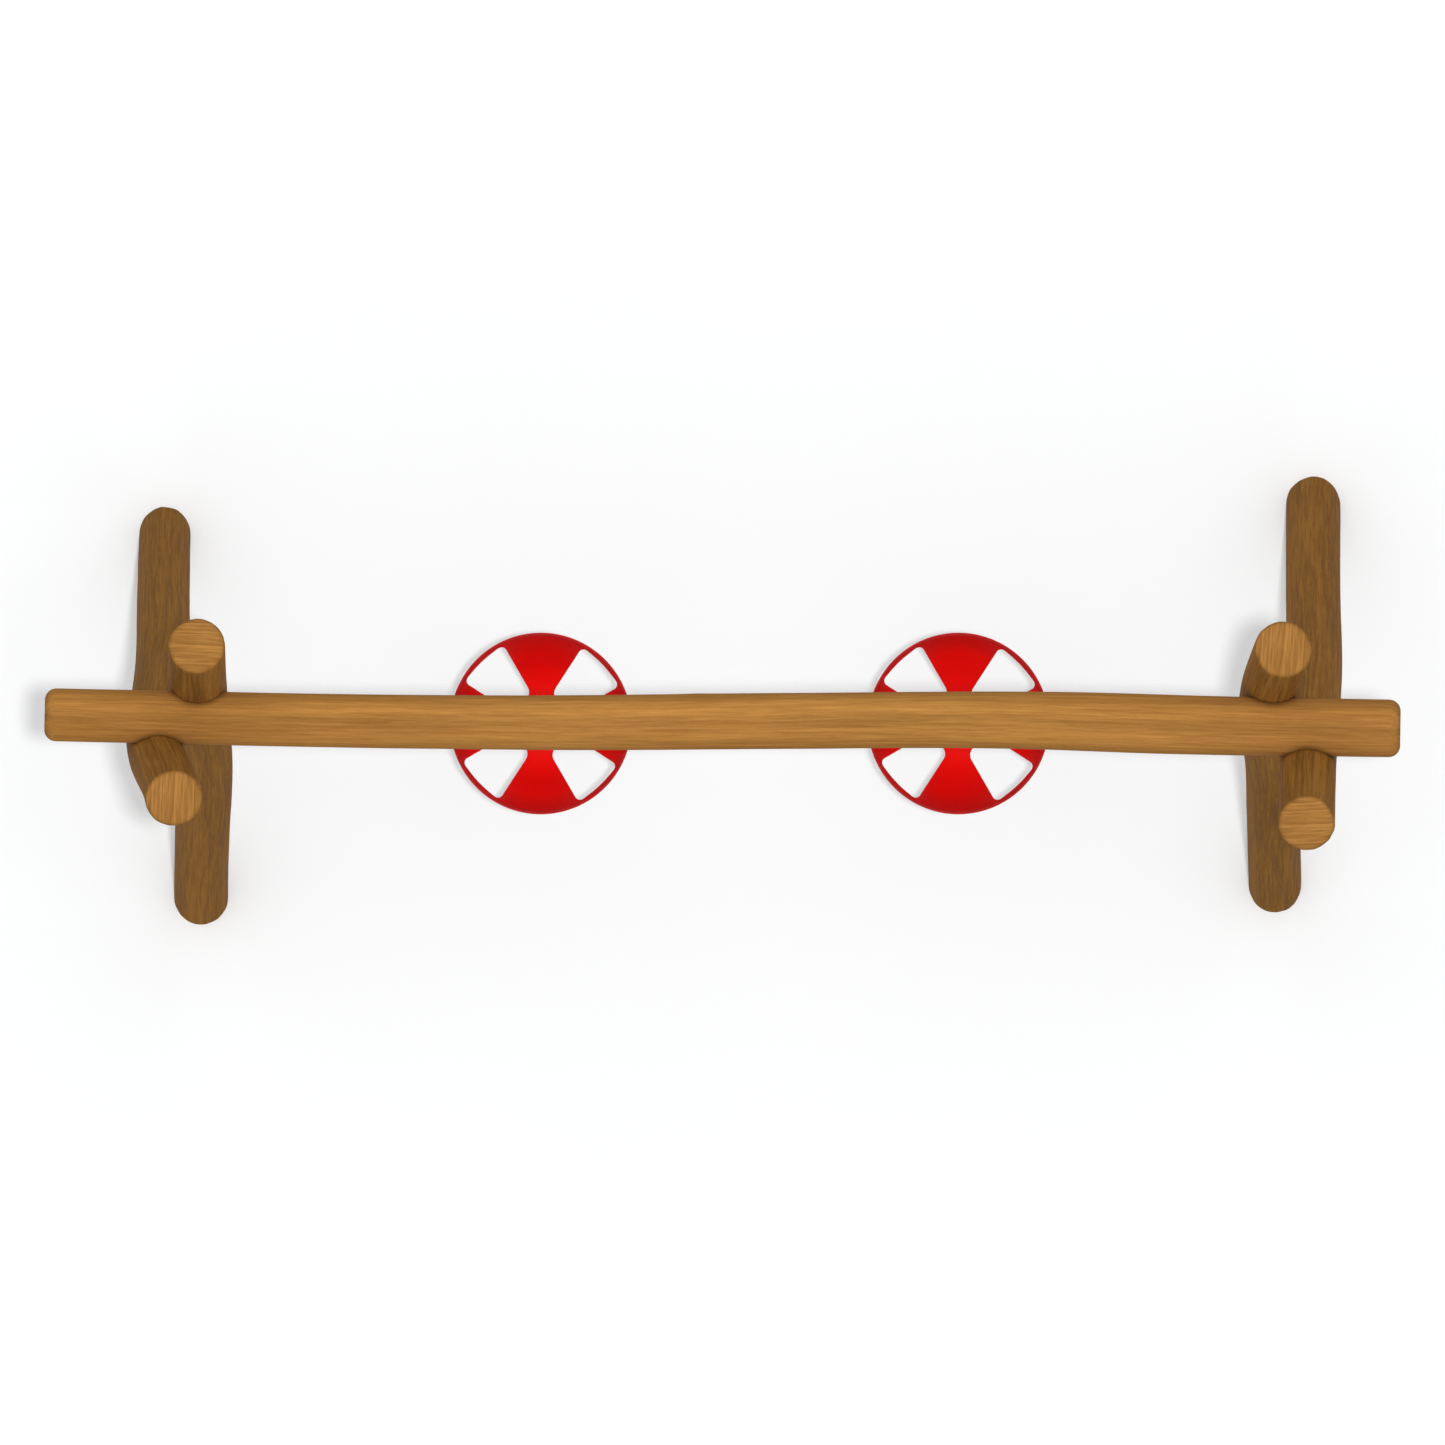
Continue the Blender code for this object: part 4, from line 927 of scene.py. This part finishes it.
def inside(point, outline):
    """Whether a point in plan is inside a closed outline."""
    x, y = point
    hit = False
    for a, b in sides_of(outline):
        if (a[1] > y) != (b[1] > y) and x < (b[0] - a[0]) * (y - a[1]) / (b[1] - a[1]) + a[0]:
            hit = not hit
    return hit


def bowl_shell():
    """The moulded bowl about its rim's centre: one closed wall with full-round opening edges."""
    half = BOWL_THICKNESS / 2
    plan, edges, loops = [], [], []

    def add_loop(points):
        start = len(plan)
        plan.extend(points)
        loop = list(range(start, len(plan)))
        edges.extend(sides_of(loop))
        return loop

    around = [Vector(point) * bowl_radius(WALL_TOP) for point in circle(BOWL_STEPS)]
    rim_loop = add_loop(around)
    walls = []
    for outline in openings():
        pulled = []
        for before, here, after in zip(outline[-1:] + outline, outline, outline[1:] + outline[:1]):
            point, normal = bowl_point(*here)
            ahead = (bowl_point(*after)[0] - bowl_point(*before)[0]).normalized()
            outwards = ahead.cross(normal)
            pulled.append(Vector((point + outwards * half).xy))
        walls.append(pulled)
        loops.append(add_loop(pulled))
    # A grid that is even on the surface, kept clear of the loops.
    below, ring = WALL_TOP, 0
    clear = BOWL_GRID * 0.55
    while below < BOWL_DEPTH:
        radius = bowl_radius(below)
        slope = math.atan(bowl_rise(radius))
        step_plan = BOWL_GRID * math.cos(slope)
        radius -= step_plan
        if radius < 0.006:
            break
        below = BOWL_DEPTH * (1 - (radius / BOWL_RIM_RADIUS) ** BOWL_POWER)
        count = max(12, round(2 * math.pi * radius / BOWL_GRID))
        ring += 1
        for k in range(count):
            angle = 2 * math.pi * (k + 0.5 * (ring % 2)) / count
            spot = Vector((radius * math.cos(angle), radius * math.sin(angle)))
            if any(inside(spot, wall) for wall in walls):
                continue
            near = min((spot - Vector(p)).length for wall in walls for p in wall)
            steep = max(0.35, math.cos(slope))
            if near > clear * steep:
                plan.append(spot)
    plan.append(Vector((0.0, 0.0)))
    flat, _, triangles, from_plan, _, _ = delaunay_2d_cdt(plan, edges, [], 0, 1e-7)
    back = {}
    for index, sources in enumerate(from_plan):
        for source in sources:
            back[source] = index
    verts, outer = [], []
    for x, y in flat:
        point, normal = bowl_point(x, y)
        verts.append(point)
        outer.append(point - normal * BOWL_THICKNESS)
    count = len(verts)
    verts += outer
    faces = []
    for triangle in triangles:
        middle = sum((flat[i] for i in triangle), Vector((0.0, 0.0))) / 3
        if any(inside(middle, wall) for wall in walls):
            continue
        a, b, c = (flat[i] for i in triangle)
        if (b - a).cross(c - a) < 0:
            triangle = triangle[::-1]
        faces.append(tuple(triangle))
        faces.append(tuple(i + count for i in triangle[::-1]))

    def strip(first, second):
        for k in range(len(first)):
            n = (k + 1) % len(first)
            faces.append((first[k], first[n], second[n], second[k]))

    def ring_of(profile_radius, height):
        start = len(verts)
        for direction in around:
            verts.append(Vector((*(direction.normalized() * profile_radius), height)))
        return list(range(start, len(verts)))

    for loop in loops:
        inner = [back[i] for i in loop]
        rows = [inner]
        size = len(inner)
        for step in (1, 2, 3, 4, 5):
            turn = math.pi * step / 6
            row = []
            for k in range(size):
                top, under = verts[inner[k]], verts[inner[k] + count]
                normal = (top - under).normalized()
                ahead = (verts[inner[(k + 1) % size]] - verts[inner[k - 1]]).normalized()
                into = normal.cross(ahead)
                row.append(len(verts))
                verts.append(
                    (top + under) / 2 + normal * half * math.cos(turn) + into * half * math.sin(turn)
                )
            rows.append(row)
        rows.append([i + count for i in inner])
        for first, second in zip(rows, rows[1:]):
            strip(second, first)
    # The lip rolls out from the wall's top, and back under to the wall's outside.
    wall_out = bowl_radius(WALL_CORNER) + BOWL_THICKNESS * 0.93
    sections = ((BOWL_RIM_RADIUS, LIP_FROM_RIM), (LIP_RADIUS, LIP_FROM_EDGE), (wall_out, LIP_FROM_WALL))
    lip_rows = [ring_of(base + out, z) for base, section in sections for out, z in section]
    rows = [[back[i] for i in rim_loop], *lip_rows, [back[i] + count for i in rim_loop]]
    for first, second in zip(rows, rows[1:]):
        strip(second, first)
    obj = facing_out(mesh_piece("bowl_shell", verts, faces))
    co = vertex_places(obj)
    radius, upper = np.hypot(co[:, 0], co[:, 1]), co[:, 2] > -0.006
    worn = smooth_step(radius, LIP_RADIUS - 0.0026, LIP_RADIUS - 0.0008) * upper
    inside_face = np.arange(len(co)) < count
    # Painted shade: the lip and the steep upper part of the inner wall are marked for darker red.
    lip = smooth_step(radius, BOWL_RIM_RADIUS - 0.0030, BOWL_RIM_RADIUS + 0.0012) * upper
    rim_shade = np.maximum(smooth_step(radius, 0.200, 0.262) * inside_face * 0.45, lip) * (1 - worn)
    write_attributes(obj, {"worn": worn, "rim_shade": rim_shade})
    return obj


def make_bowls(red):
    shell = bowl_shell()
    for seat, x in SEAT_X.items():
        piece = placed_copy(f"{seat}_seat_bowl_shell", shell, Matrix.Translation((x, AXIS_Y, RIM_Z)))
        stand_for(piece, f"{seat}_seat_bowl", f"{seat}_seat", red, 60)
    remove(shell)


# ---------------------------------------------------------------- bars and fittings


def bar(name, points, radius, sides=20, closed=False):
    """A round bar along the points, with rounded ends, or closed into a ring."""
    points = [Vector(p) for p in points]
    radii = [radius] * len(points)
    if not closed:
        for end, inner in ((0, 1), (-1, -2)):
            out = (points[end] - points[inner]).normalized()
            turns = (0.6, 1.1, 1.45)
            extra = [points[end] + out * radius * 0.6 * math.sin(turn) for turn in turns]
            sizes = [radius * math.cos(turn) for turn in turns]
            points = extra[::-1] + points if end == 0 else points + extra
            radii = sizes[::-1] + radii if end == 0 else radii + sizes
    count = len(points)
    verts, faces = [], quads_between(count, sides, closed)
    normal = None
    for i, point in enumerate(points):
        before = points[i - 1] if closed or i > 0 else point
        after = points[(i + 1) % count] if closed or i < count - 1 else point
        ahead = (after - before).normalized()
        if normal is None:
            normal = ahead.orthogonal().normalized()
        normal = (normal - ahead * normal.dot(ahead)).normalized()
        across = ahead.cross(normal)
        verts += [point + radii[i] * (x * normal + y * across) for x, y in circle(sides)]
    if not closed:
        faces.append(tuple(reversed(range(sides))))
        faces.append(tuple(range((count - 1) * sides, count * sides)))
    return mesh_piece(name, verts, faces)


def slab(name, outline, thickness, matrix):
    """A flat plate: the outline in the matrix's XY plane, with its thickness centred on it."""
    half, count = thickness / 2, len(outline)
    verts = [(x, y, z) for z in (-half, half) for x, y in outline]
    sides = [(k, (k + 1) % count, (k + 1) % count + count, k + count) for k in range(count)]
    faces = [tuple(reversed(range(count))), tuple(range(count, 2 * count)), *sides]
    obj = facing_out(mesh_piece(name, verts, faces))
    obj.data.transform(matrix)
    return obj


def eased(obj, width=0.0007):
    """Small round bevels on the sharp edges, with flat faces that stay flat."""
    bevel = obj.modifiers.new("eased edges", "BEVEL")
    bevel.width = width
    bevel.segments = 3
    bevel.limit_method = "ANGLE"
    bevel.angle_limit = math.radians(35)
    obj.modifiers.new("flat faces", "WEIGHTED_NORMAL")
    return obj


def ring_profile(bore, outer, half, ease=0.001):
    """The profile of a sleeve about Z, with eased outer edges, for turned(ring=True)."""
    corner = ease * 0.3
    upper = [(bore, half), (outer - ease, half), (outer - corner, half - corner), (outer, half - ease)]
    return upper + [(radius, -height) for radius, height in reversed(upper)]


def wall_frame(below_rim, y):
    """A matrix on the bowl's outer face at a depth and a y: Z points out of the wall, Y up it."""
    radius = bowl_radius(below_rim)
    slope = math.atan(bowl_rise(radius))
    radius += BOWL_THICKNESS * math.sin(slope)
    height = RIM_Z - below_rim - BOWL_THICKNESS * math.cos(slope)
    out = Vector((math.sin(slope), 0, -math.cos(slope)))
    up = Vector((math.cos(slope), 0, math.sin(slope)))
    axes = Matrix((up.cross(out), up, out)).transposed().to_4x4()
    turn = Matrix.Rotation(math.asin(y / radius), 4, "Z")
    return turn @ Matrix.Translation((radius, 0, height)) @ axes


def set_rivet(matrix):
    """A rivet through the wall: its low head inside the bowl, and its set end outside the tab."""
    inside, outside = -BOWL_THICKNESS - RIVET_STAND_OFF, TAB_STAND_OFF + TAB_SIZE[2]
    profile = [(radius, outside + height) for radius, height in RIVET_SET_END]
    profile += [(RIVET_RADIUS, outside - 0.0003), (RIVET_RADIUS, inside)]
    profile += [(radius, inside + height) for radius, height in RIVET_HEAD]
    return turned("rivet", profile, 32, matrix)


def seat_bow():
    """The bow at the seat's +X side: an eye, and two arms welded to tabs riveted to the wall."""
    eye_x, eye_z = BOW_EYE
    eye = ring_profile(BOW_EYE_HOLE_RADIUS, BOW_EYE_RADIUS, BOW_EYE_HALF_WIDTH, 0.0015)
    pieces = [turned("eye", eye, 40, pointing((eye_x, 0, eye_z), ALONG_X), ring=True)]
    for side in (-1, 1):
        landing = wall_frame(TAB_BELOW_RIM - 0.012, side * BOW_FOOT_Y)
        stop = wall_frame(TAB_BELOW_RIM + 0.001, side * BOW_FOOT_Y)
        knots = [
            Vector((eye_x, side * 0.005, eye_z - 0.007)),
            Vector((eye_x, side * 0.044, eye_z - 0.095)),
            Vector((eye_x - 0.001, side * BOW_FOOT_Y, eye_z - 0.142)),
            Vector((eye_x - 0.008, side * BOW_FOOT_Y, RIM_Z - 0.013)),
            landing @ Vector((0, 0, 0.0085)),
            stop @ Vector((0, 0, 0.0062)),
        ]
        pieces.append(bar("arm", smooth_through(knots, 14), BOW_ROD_RADIUS))
        on_wall = wall_frame(TAB_BELOW_RIM, side * BOW_FOOT_Y)
        half_x, half_y = TAB_SIZE[0] / 2, TAB_SIZE[1] / 2
        corners = ((-half_x, -half_y), (half_x, -half_y), (half_x, half_y), (-half_x, half_y))
        at = on_wall @ Matrix.Translation((0, 0, TAB_STAND_OFF + TAB_SIZE[2] / 2))
        pieces.append(eased(slab("tab", filleted(corners, (0.004,) * 4, 5), TAB_SIZE[2], at), 0.0008))
        # The weld: a ripple of overlapping beads on each side of the arm's end.
        for edge in (-1, 1):
            for bead in range(WELD_BEADS):
                y = 0.016 - bead * WELD_BEAD_SPACING
                spot = on_wall @ Vector((edge * 0.0042, y, TAB_STAND_OFF + TAB_SIZE[2]))
                at = Matrix.Translation(spot) @ on_wall.to_3x3().to_4x4()
                pieces.append(turned("bead", WELD_BEAD, 12, at))
        pieces.append(set_rivet(wall_frame(RIVET_BELOW_RIM, side * BOW_FOOT_Y)))
    return joined("bow", pieces)


def rim_hoop():
    """A round bar bent into a ring under the lip, with the bulge of its butt weld."""
    height, centre = RIM_Z - LIP_THICKNESS - 0.0003 - HOOP_ROD_RADIUS, LIP_RADIUS - HOOP_ROD_RADIUS
    steps, sides = 240, 18
    verts = []
    for i in range(steps):
        around = 2 * math.pi * i / steps
        weld = math.exp(-(((i - steps * 0.37) * centre * 2 * math.pi / steps / 0.005) ** 2))
        radius = HOOP_ROD_RADIUS * (1 + HOOP_WELD_BULGE * weld)
        for x, y in circle(sides):
            r = centre - HOOP_ROD_RADIUS * HOOP_WELD_BULGE * weld + radius * x
            verts.append((r * math.cos(around), r * math.sin(around), height + radius * y))
    faces = [(a, d, c, b) for a, b, c, d in quads_between(steps, sides, closed=True)]
    return mesh_piece("hoop", verts, faces)


def swing_hanger():
    """A barrel on the bush, with a lug for the quick link below it."""
    profile = ring_profile(HANGER_BORE_RADIUS, HANGER_RADIUS, HANGER_HALF_LENGTH)
    barrel = turned("barrel", profile, 56, pointing((0, 0, 0), ALONG_X), ring=True)
    end_z = -LUG_DROP - LUG_RADIUS
    corners = ((0.0145, -0.0115), (-0.0145, -0.0115), (-LUG_RADIUS, end_z), (LUG_RADIUS, end_z))
    outline = filleted(corners, (0, 0, LUG_RADIUS - 0.001, LUG_RADIUS - 0.001), 14)
    front_on = Matrix(((1, 0, 0, 0), (0, 0, -1, 0), (0, 1, 0, 0), (0, 0, 0, 1)))
    lug = slab("lug", outline, LUG_THICKNESS, front_on)
    hole = [(0, 0.02), (LUG_HOLE_RADIUS, 0.02), (LUG_HOLE_RADIUS, -0.02), (0, -0.02)]
    lug = cut(lug, turned("hole", hole, 32, pointing((0, 0, -LUG_DROP), (0, 1, 0))))
    return joined("hanger", [barrel, eased(lug)])


def quick_link():
    """An oval ring in the YZ plane, with its sleeve nut closed. Its top rod is at the origin."""
    upper, lower = -LINK_HALF_WIDTH, -LINK_LENGTH + LINK_HALF_WIDTH
    route = arc((0, upper), LINK_HALF_WIDTH, math.pi, 0, 20)
    route += arc((0, lower), LINK_HALF_WIDTH, 0, -math.pi, 20)
    ring = bar("ring", [(0, y, z) for y, z in route], LINK_ROD_RADIUS, 18, closed=True)
    hexagon = [(0.00635 * x, 0.00635 * y) for x, y in circle(6)]
    at = Matrix.Translation((0, LINK_HALF_WIDTH, (upper + lower) / 2))
    sleeve = eased(slab("sleeve_nut", hexagon, upper - lower - 0.002, at), 0.0009)
    return joined("link", [ring, sleeve])


def shackle():
    """A bow in the XZ plane that stands above its pin's centre."""
    crown_centre = SHACKLE_LENGTH - SHACKLE_LEG_OFFSET
    route = [(SHACKLE_LEG_OFFSET, 0.0065), (SHACKLE_LEG_OFFSET, 0.012)]
    route += arc((0, crown_centre), SHACKLE_LEG_OFFSET, 0, math.pi, 20)
    route += [(-SHACKLE_LEG_OFFSET, 0.012), (-SHACKLE_LEG_OFFSET, 0.0065)]
    pieces = [bar("bow", [(x, 0, z) for x, z in route], SHACKLE_ROD_RADIUS, 18)]
    eye = ring_profile(SHACKLE_PIN_RADIUS + 0.0003, SHACKLE_EYE_RADIUS, SHACKLE_ROD_RADIUS, 0.0012)
    for side in (-1, 1):
        at = pointing((side * SHACKLE_LEG_OFFSET, 0, 0), ALONG_X)
        pieces.append(turned("eye", eye, 36, at, ring=True))
    return joined("shackle", pieces)


def shackle_pin():
    """The pin along X, with its collar against one eye and a hollow in the collar's end."""
    outer = SHACKLE_LEG_OFFSET + SHACKLE_ROD_RADIUS
    collar, end = outer + 0.0003, outer + 0.0003 + SHACKLE_COLLAR_THICKNESS
    profile = [(0, end - 0.0020), (0.0026, end - 0.0020), (0.0030, end)]
    profile += [(SHACKLE_COLLAR_RADIUS - 0.0008, end), (SHACKLE_COLLAR_RADIUS, end - 0.0008)]
    profile += [(SHACKLE_COLLAR_RADIUS, collar + 0.0004)]
    profile += [(SHACKLE_COLLAR_RADIUS - 0.0004, collar), (SHACKLE_PIN_RADIUS, collar)]
    profile += [(SHACKLE_PIN_RADIUS, -outer - 0.0012), (SHACKLE_PIN_RADIUS - 0.0008, -outer - 0.0020)]
    return turned("pin", [*profile, (0, -outer - 0.0020)], 36, pointing((0, 0, 0), ALONG_X))


def chain_link(pitch):
    """One link in the XZ plane about its centre."""
    bend = (CHAIN_INNER_WIDTH + 2 * CHAIN_WIRE_RADIUS) / 2
    straight = pitch / 2 + CHAIN_WIRE_RADIUS - bend
    route = arc((0, straight), bend, 0, math.pi, 10) + arc((0, -straight), bend, math.pi, 2 * math.pi, 10)
    return bar("link", [(x, 0, z) for x, z in route], CHAIN_WIRE_RADIUS, 10, closed=True)


def chain(name, seat_x, outward):
    """A short-link chain from the quick link's lowest rod to the shackle's crown."""
    top_z = PIVOT_Z - LUG_DROP - LINK_LENGTH + LINK_ROD_RADIUS
    bottom_z = EYE_Z + SHACKLE_LENGTH - SHACKLE_ROD_RADIUS
    top = Vector((seat_x + outward * PIVOT_HALF_SPACING, AXIS_Y, top_z))
    bottom = Vector((seat_x + outward * BOW_EYE[0], AXIS_Y, bottom_z))
    pitch = (top - bottom).length / CHAIN_LINKS
    down = (bottom - top).normalized()
    lean = Vector((0, 0, -1)).rotation_difference(down).to_matrix().to_4x4()
    master = chain_link(pitch)
    links = []
    for i in range(CHAIN_LINKS):
        quarter = Matrix.Rotation(math.pi / 2 * (i % 2), 4, "Z")
        place = Matrix.Translation(top + down * pitch * (i + 0.5)) @ lean @ quarter
        links.append(placed_copy("link", master, place))
    remove(master)
    return joined(name, links)


def make_fittings(steel, chain_steel, bow_steel):
    """The pieces that hang: each stands for the CAD node whose name it has without its ending."""
    masters = {
        "swing_hanger": (swing_hanger(), PIVOT_Z),
        "quick_link": (quick_link(), PIVOT_Z - LUG_DROP),
        "shackle": (shackle(), EYE_Z),
        "shackle_pin": (shackle_pin(), EYE_Z),
    }
    bow, hoop = seat_bow(), rim_hoop()
    for seat, seat_x in SEAT_X.items():
        chains, body = f"{seat}_chains", f"{seat}_seat"
        for end, outward in (("left", -1), ("right", 1)):
            for kind, (master, z) in masters.items():
                reach = BOW_EYE[0] if z == EYE_Z else PIVOT_HALF_SPACING
                at = Matrix.Translation((seat_x + outward * reach, AXIS_Y, z))
                piece = placed_copy(f"{seat}_seat_{end}_{kind}_fine", master, at)
                stand_for(piece, f"{seat}_seat_{end}_{kind}", chains, steel)
            links = chain(f"{seat}_seat_{end}_chain_links", seat_x, outward)
            stand_for(links, f"{seat}_seat_{end}_chain", chains, chain_steel, 60)
            turn = Matrix.Rotation(math.pi if outward < 0 else 0.0, 4, "Z")
            at = Matrix.Translation((seat_x, AXIS_Y, 0)) @ turn
            piece = placed_copy(f"{seat}_seat_{end}_bow_fine", bow, at)
            stand_for(piece, f"{seat}_seat_{end}_bow", body, bow_steel)
        piece = placed_copy(f"{seat}_seat_rim_hoop_fine", hoop, Matrix.Translation((seat_x, AXIS_Y, 0)))
        stand_for(piece, f"{seat}_seat_rim_hoop", body, bow_steel)
    for master in (bow, hoop, *[master for master, _ in masters.values()]):
        remove(master)


def finish_cad_nodes(materials):
    """Gives each CAD node that still shows its material and small bevels on its edges."""
    slots = {part["node"]: part["material_slot"] for part in frame["record"]["subparts"]}
    for name, node in frame["nodes"].items():
        if node.hide_render:
            continue
        finished(node, materials[slots[name]], 30)
        eased(node, 0.0006)


# ---------------------------------------------------------------- studio

FLOOR_REACH = 80
SUN_DIRECTION = (-0.0234, 0.0040, -1.0)
# (height of the direction, radiance): dim below, and a soft dome above. The narrow pale band 3 degrees
# below the horizon is a background, set for views from elevation 3, whose lowest rays start beneath the
# floor and see the world.
SKY = (
    (-1.0, 0.17),
    (-0.062, 0.17),
    (-0.058, 1.00),
    (-0.047, 1.00),
    (-0.043, 0.17),
    (-0.01, 0.20),
    (0.02, 0.55),
    (1.0, 0.90),
)
CAMERA_PLACE, CAMERA_WIDTH = (0.0, -0.06485, 12.0), 4.263


def make_studio():
    scene = bpy.context.scene
    scene.view_settings.view_transform = "Standard"
    corners = [(FLOOR_REACH * x, FLOOR_REACH * y, 0) for x, y in ((-1, -1), (1, -1), (1, 1), (-1, 1))]
    floor = mesh_piece("floor", corners, [(0, 1, 2, 3)])
    # The floor takes shadows but sends no light back up, and the dim light from below passes it, so that
    # steep sides stay darker than tops.
    floor.visible_diffuse = False
    floor.visible_shadow = False
    pale = Material("floor", Specular_IOR_Level=0.0, Roughness=1.0)
    spot = pale.noise(pale.place(), 0.8)
    pale.colour(pale.ramp(spot, (0.3, (0.940, 0.951, 0.955)), (0.7, (0.948, 0.959, 0.963))))
    floor.data.materials.append(pale.material)

    sun = bpy.data.lights.new("key", "SUN")
    sun.energy = 1.0
    sun.angle = math.radians(1.6)
    key = bpy.data.objects.new("key", sun)
    key.rotation_euler = Vector(SUN_DIRECTION).to_track_quat("-Z", "Y").to_euler()
    scene.collection.objects.link(key)

    world = bpy.data.worlds.new("studio")
    world.use_nodes = True
    scene.world = world
    sky = Nodes(world.node_tree)
    direction = sky.node("TexCoord", "Generated", {}, {})
    height = sky.node("SeparateXYZ", "Z", {}, {"Vector": direction})
    share = sky.ranged(height, -1.0, 1.0, kind="LINEAR")
    stops = [((z + 1) / 2, (radiance,) * 3) for z, radiance in SKY]
    sky.feed(world.node_tree.nodes["Background"].inputs["Color"], sky.ramp(share, *stops))

    camera = bpy.data.cameras.new("camera")
    camera.type = "ORTHO"
    camera.ortho_scale = CAMERA_WIDTH
    view = bpy.data.objects.new("camera", camera)
    view.location = CAMERA_PLACE
    scene.collection.objects.link(view)
    scene.camera = view


# ---------------------------------------------------------------- the swing

SAWN = ((0.270, 0.121, 0.028), (0.375, 0.174, 0.0425), (0.480, 0.229, 0.060))
beam_wood = wood_material(
    "beam_wood",
    ((0.340, 0.149, 0.034), (0.452, 0.206, 0.0485), (0.564, 0.264, 0.065)),
    SAWN,
    bands=0.3,
    streaking=0.86,
)
# Painted shade: the legs' wood is a darker copy of the beam's, for the shade on their steep sides.
shaded_leg_wood = wood_material(
    "shaded_leg_wood", ((0.196, 0.087, 0.0170), (0.288, 0.130, 0.0266), (0.380, 0.174, 0.0370)), SAWN
)
steel = steel_material("stainless_steel", (0.60, 0.60, 0.59), 0.34, (500, 500, 30))
chain_steel = steel_material("chain_steel", (0.56, 0.56, 0.55), 0.38, (300, 300, 300))
bow_steel = steel_material("bow_steel", (0.60, 0.60, 0.59), 0.30, (500, 500, 30))
red = red_plastic_material()
nylon = nylon_material()

make_logs(beam_wood, shaded_leg_wood)
make_bowls(red)
make_fittings(steel, chain_steel, bow_steel)
finish_cad_nodes(
    {
        "stainless_steel": steel,
        "chain_steel": chain_steel,
        "bow_steel": bow_steel,
        "bush_plastic": nylon,
    }
)
make_studio()
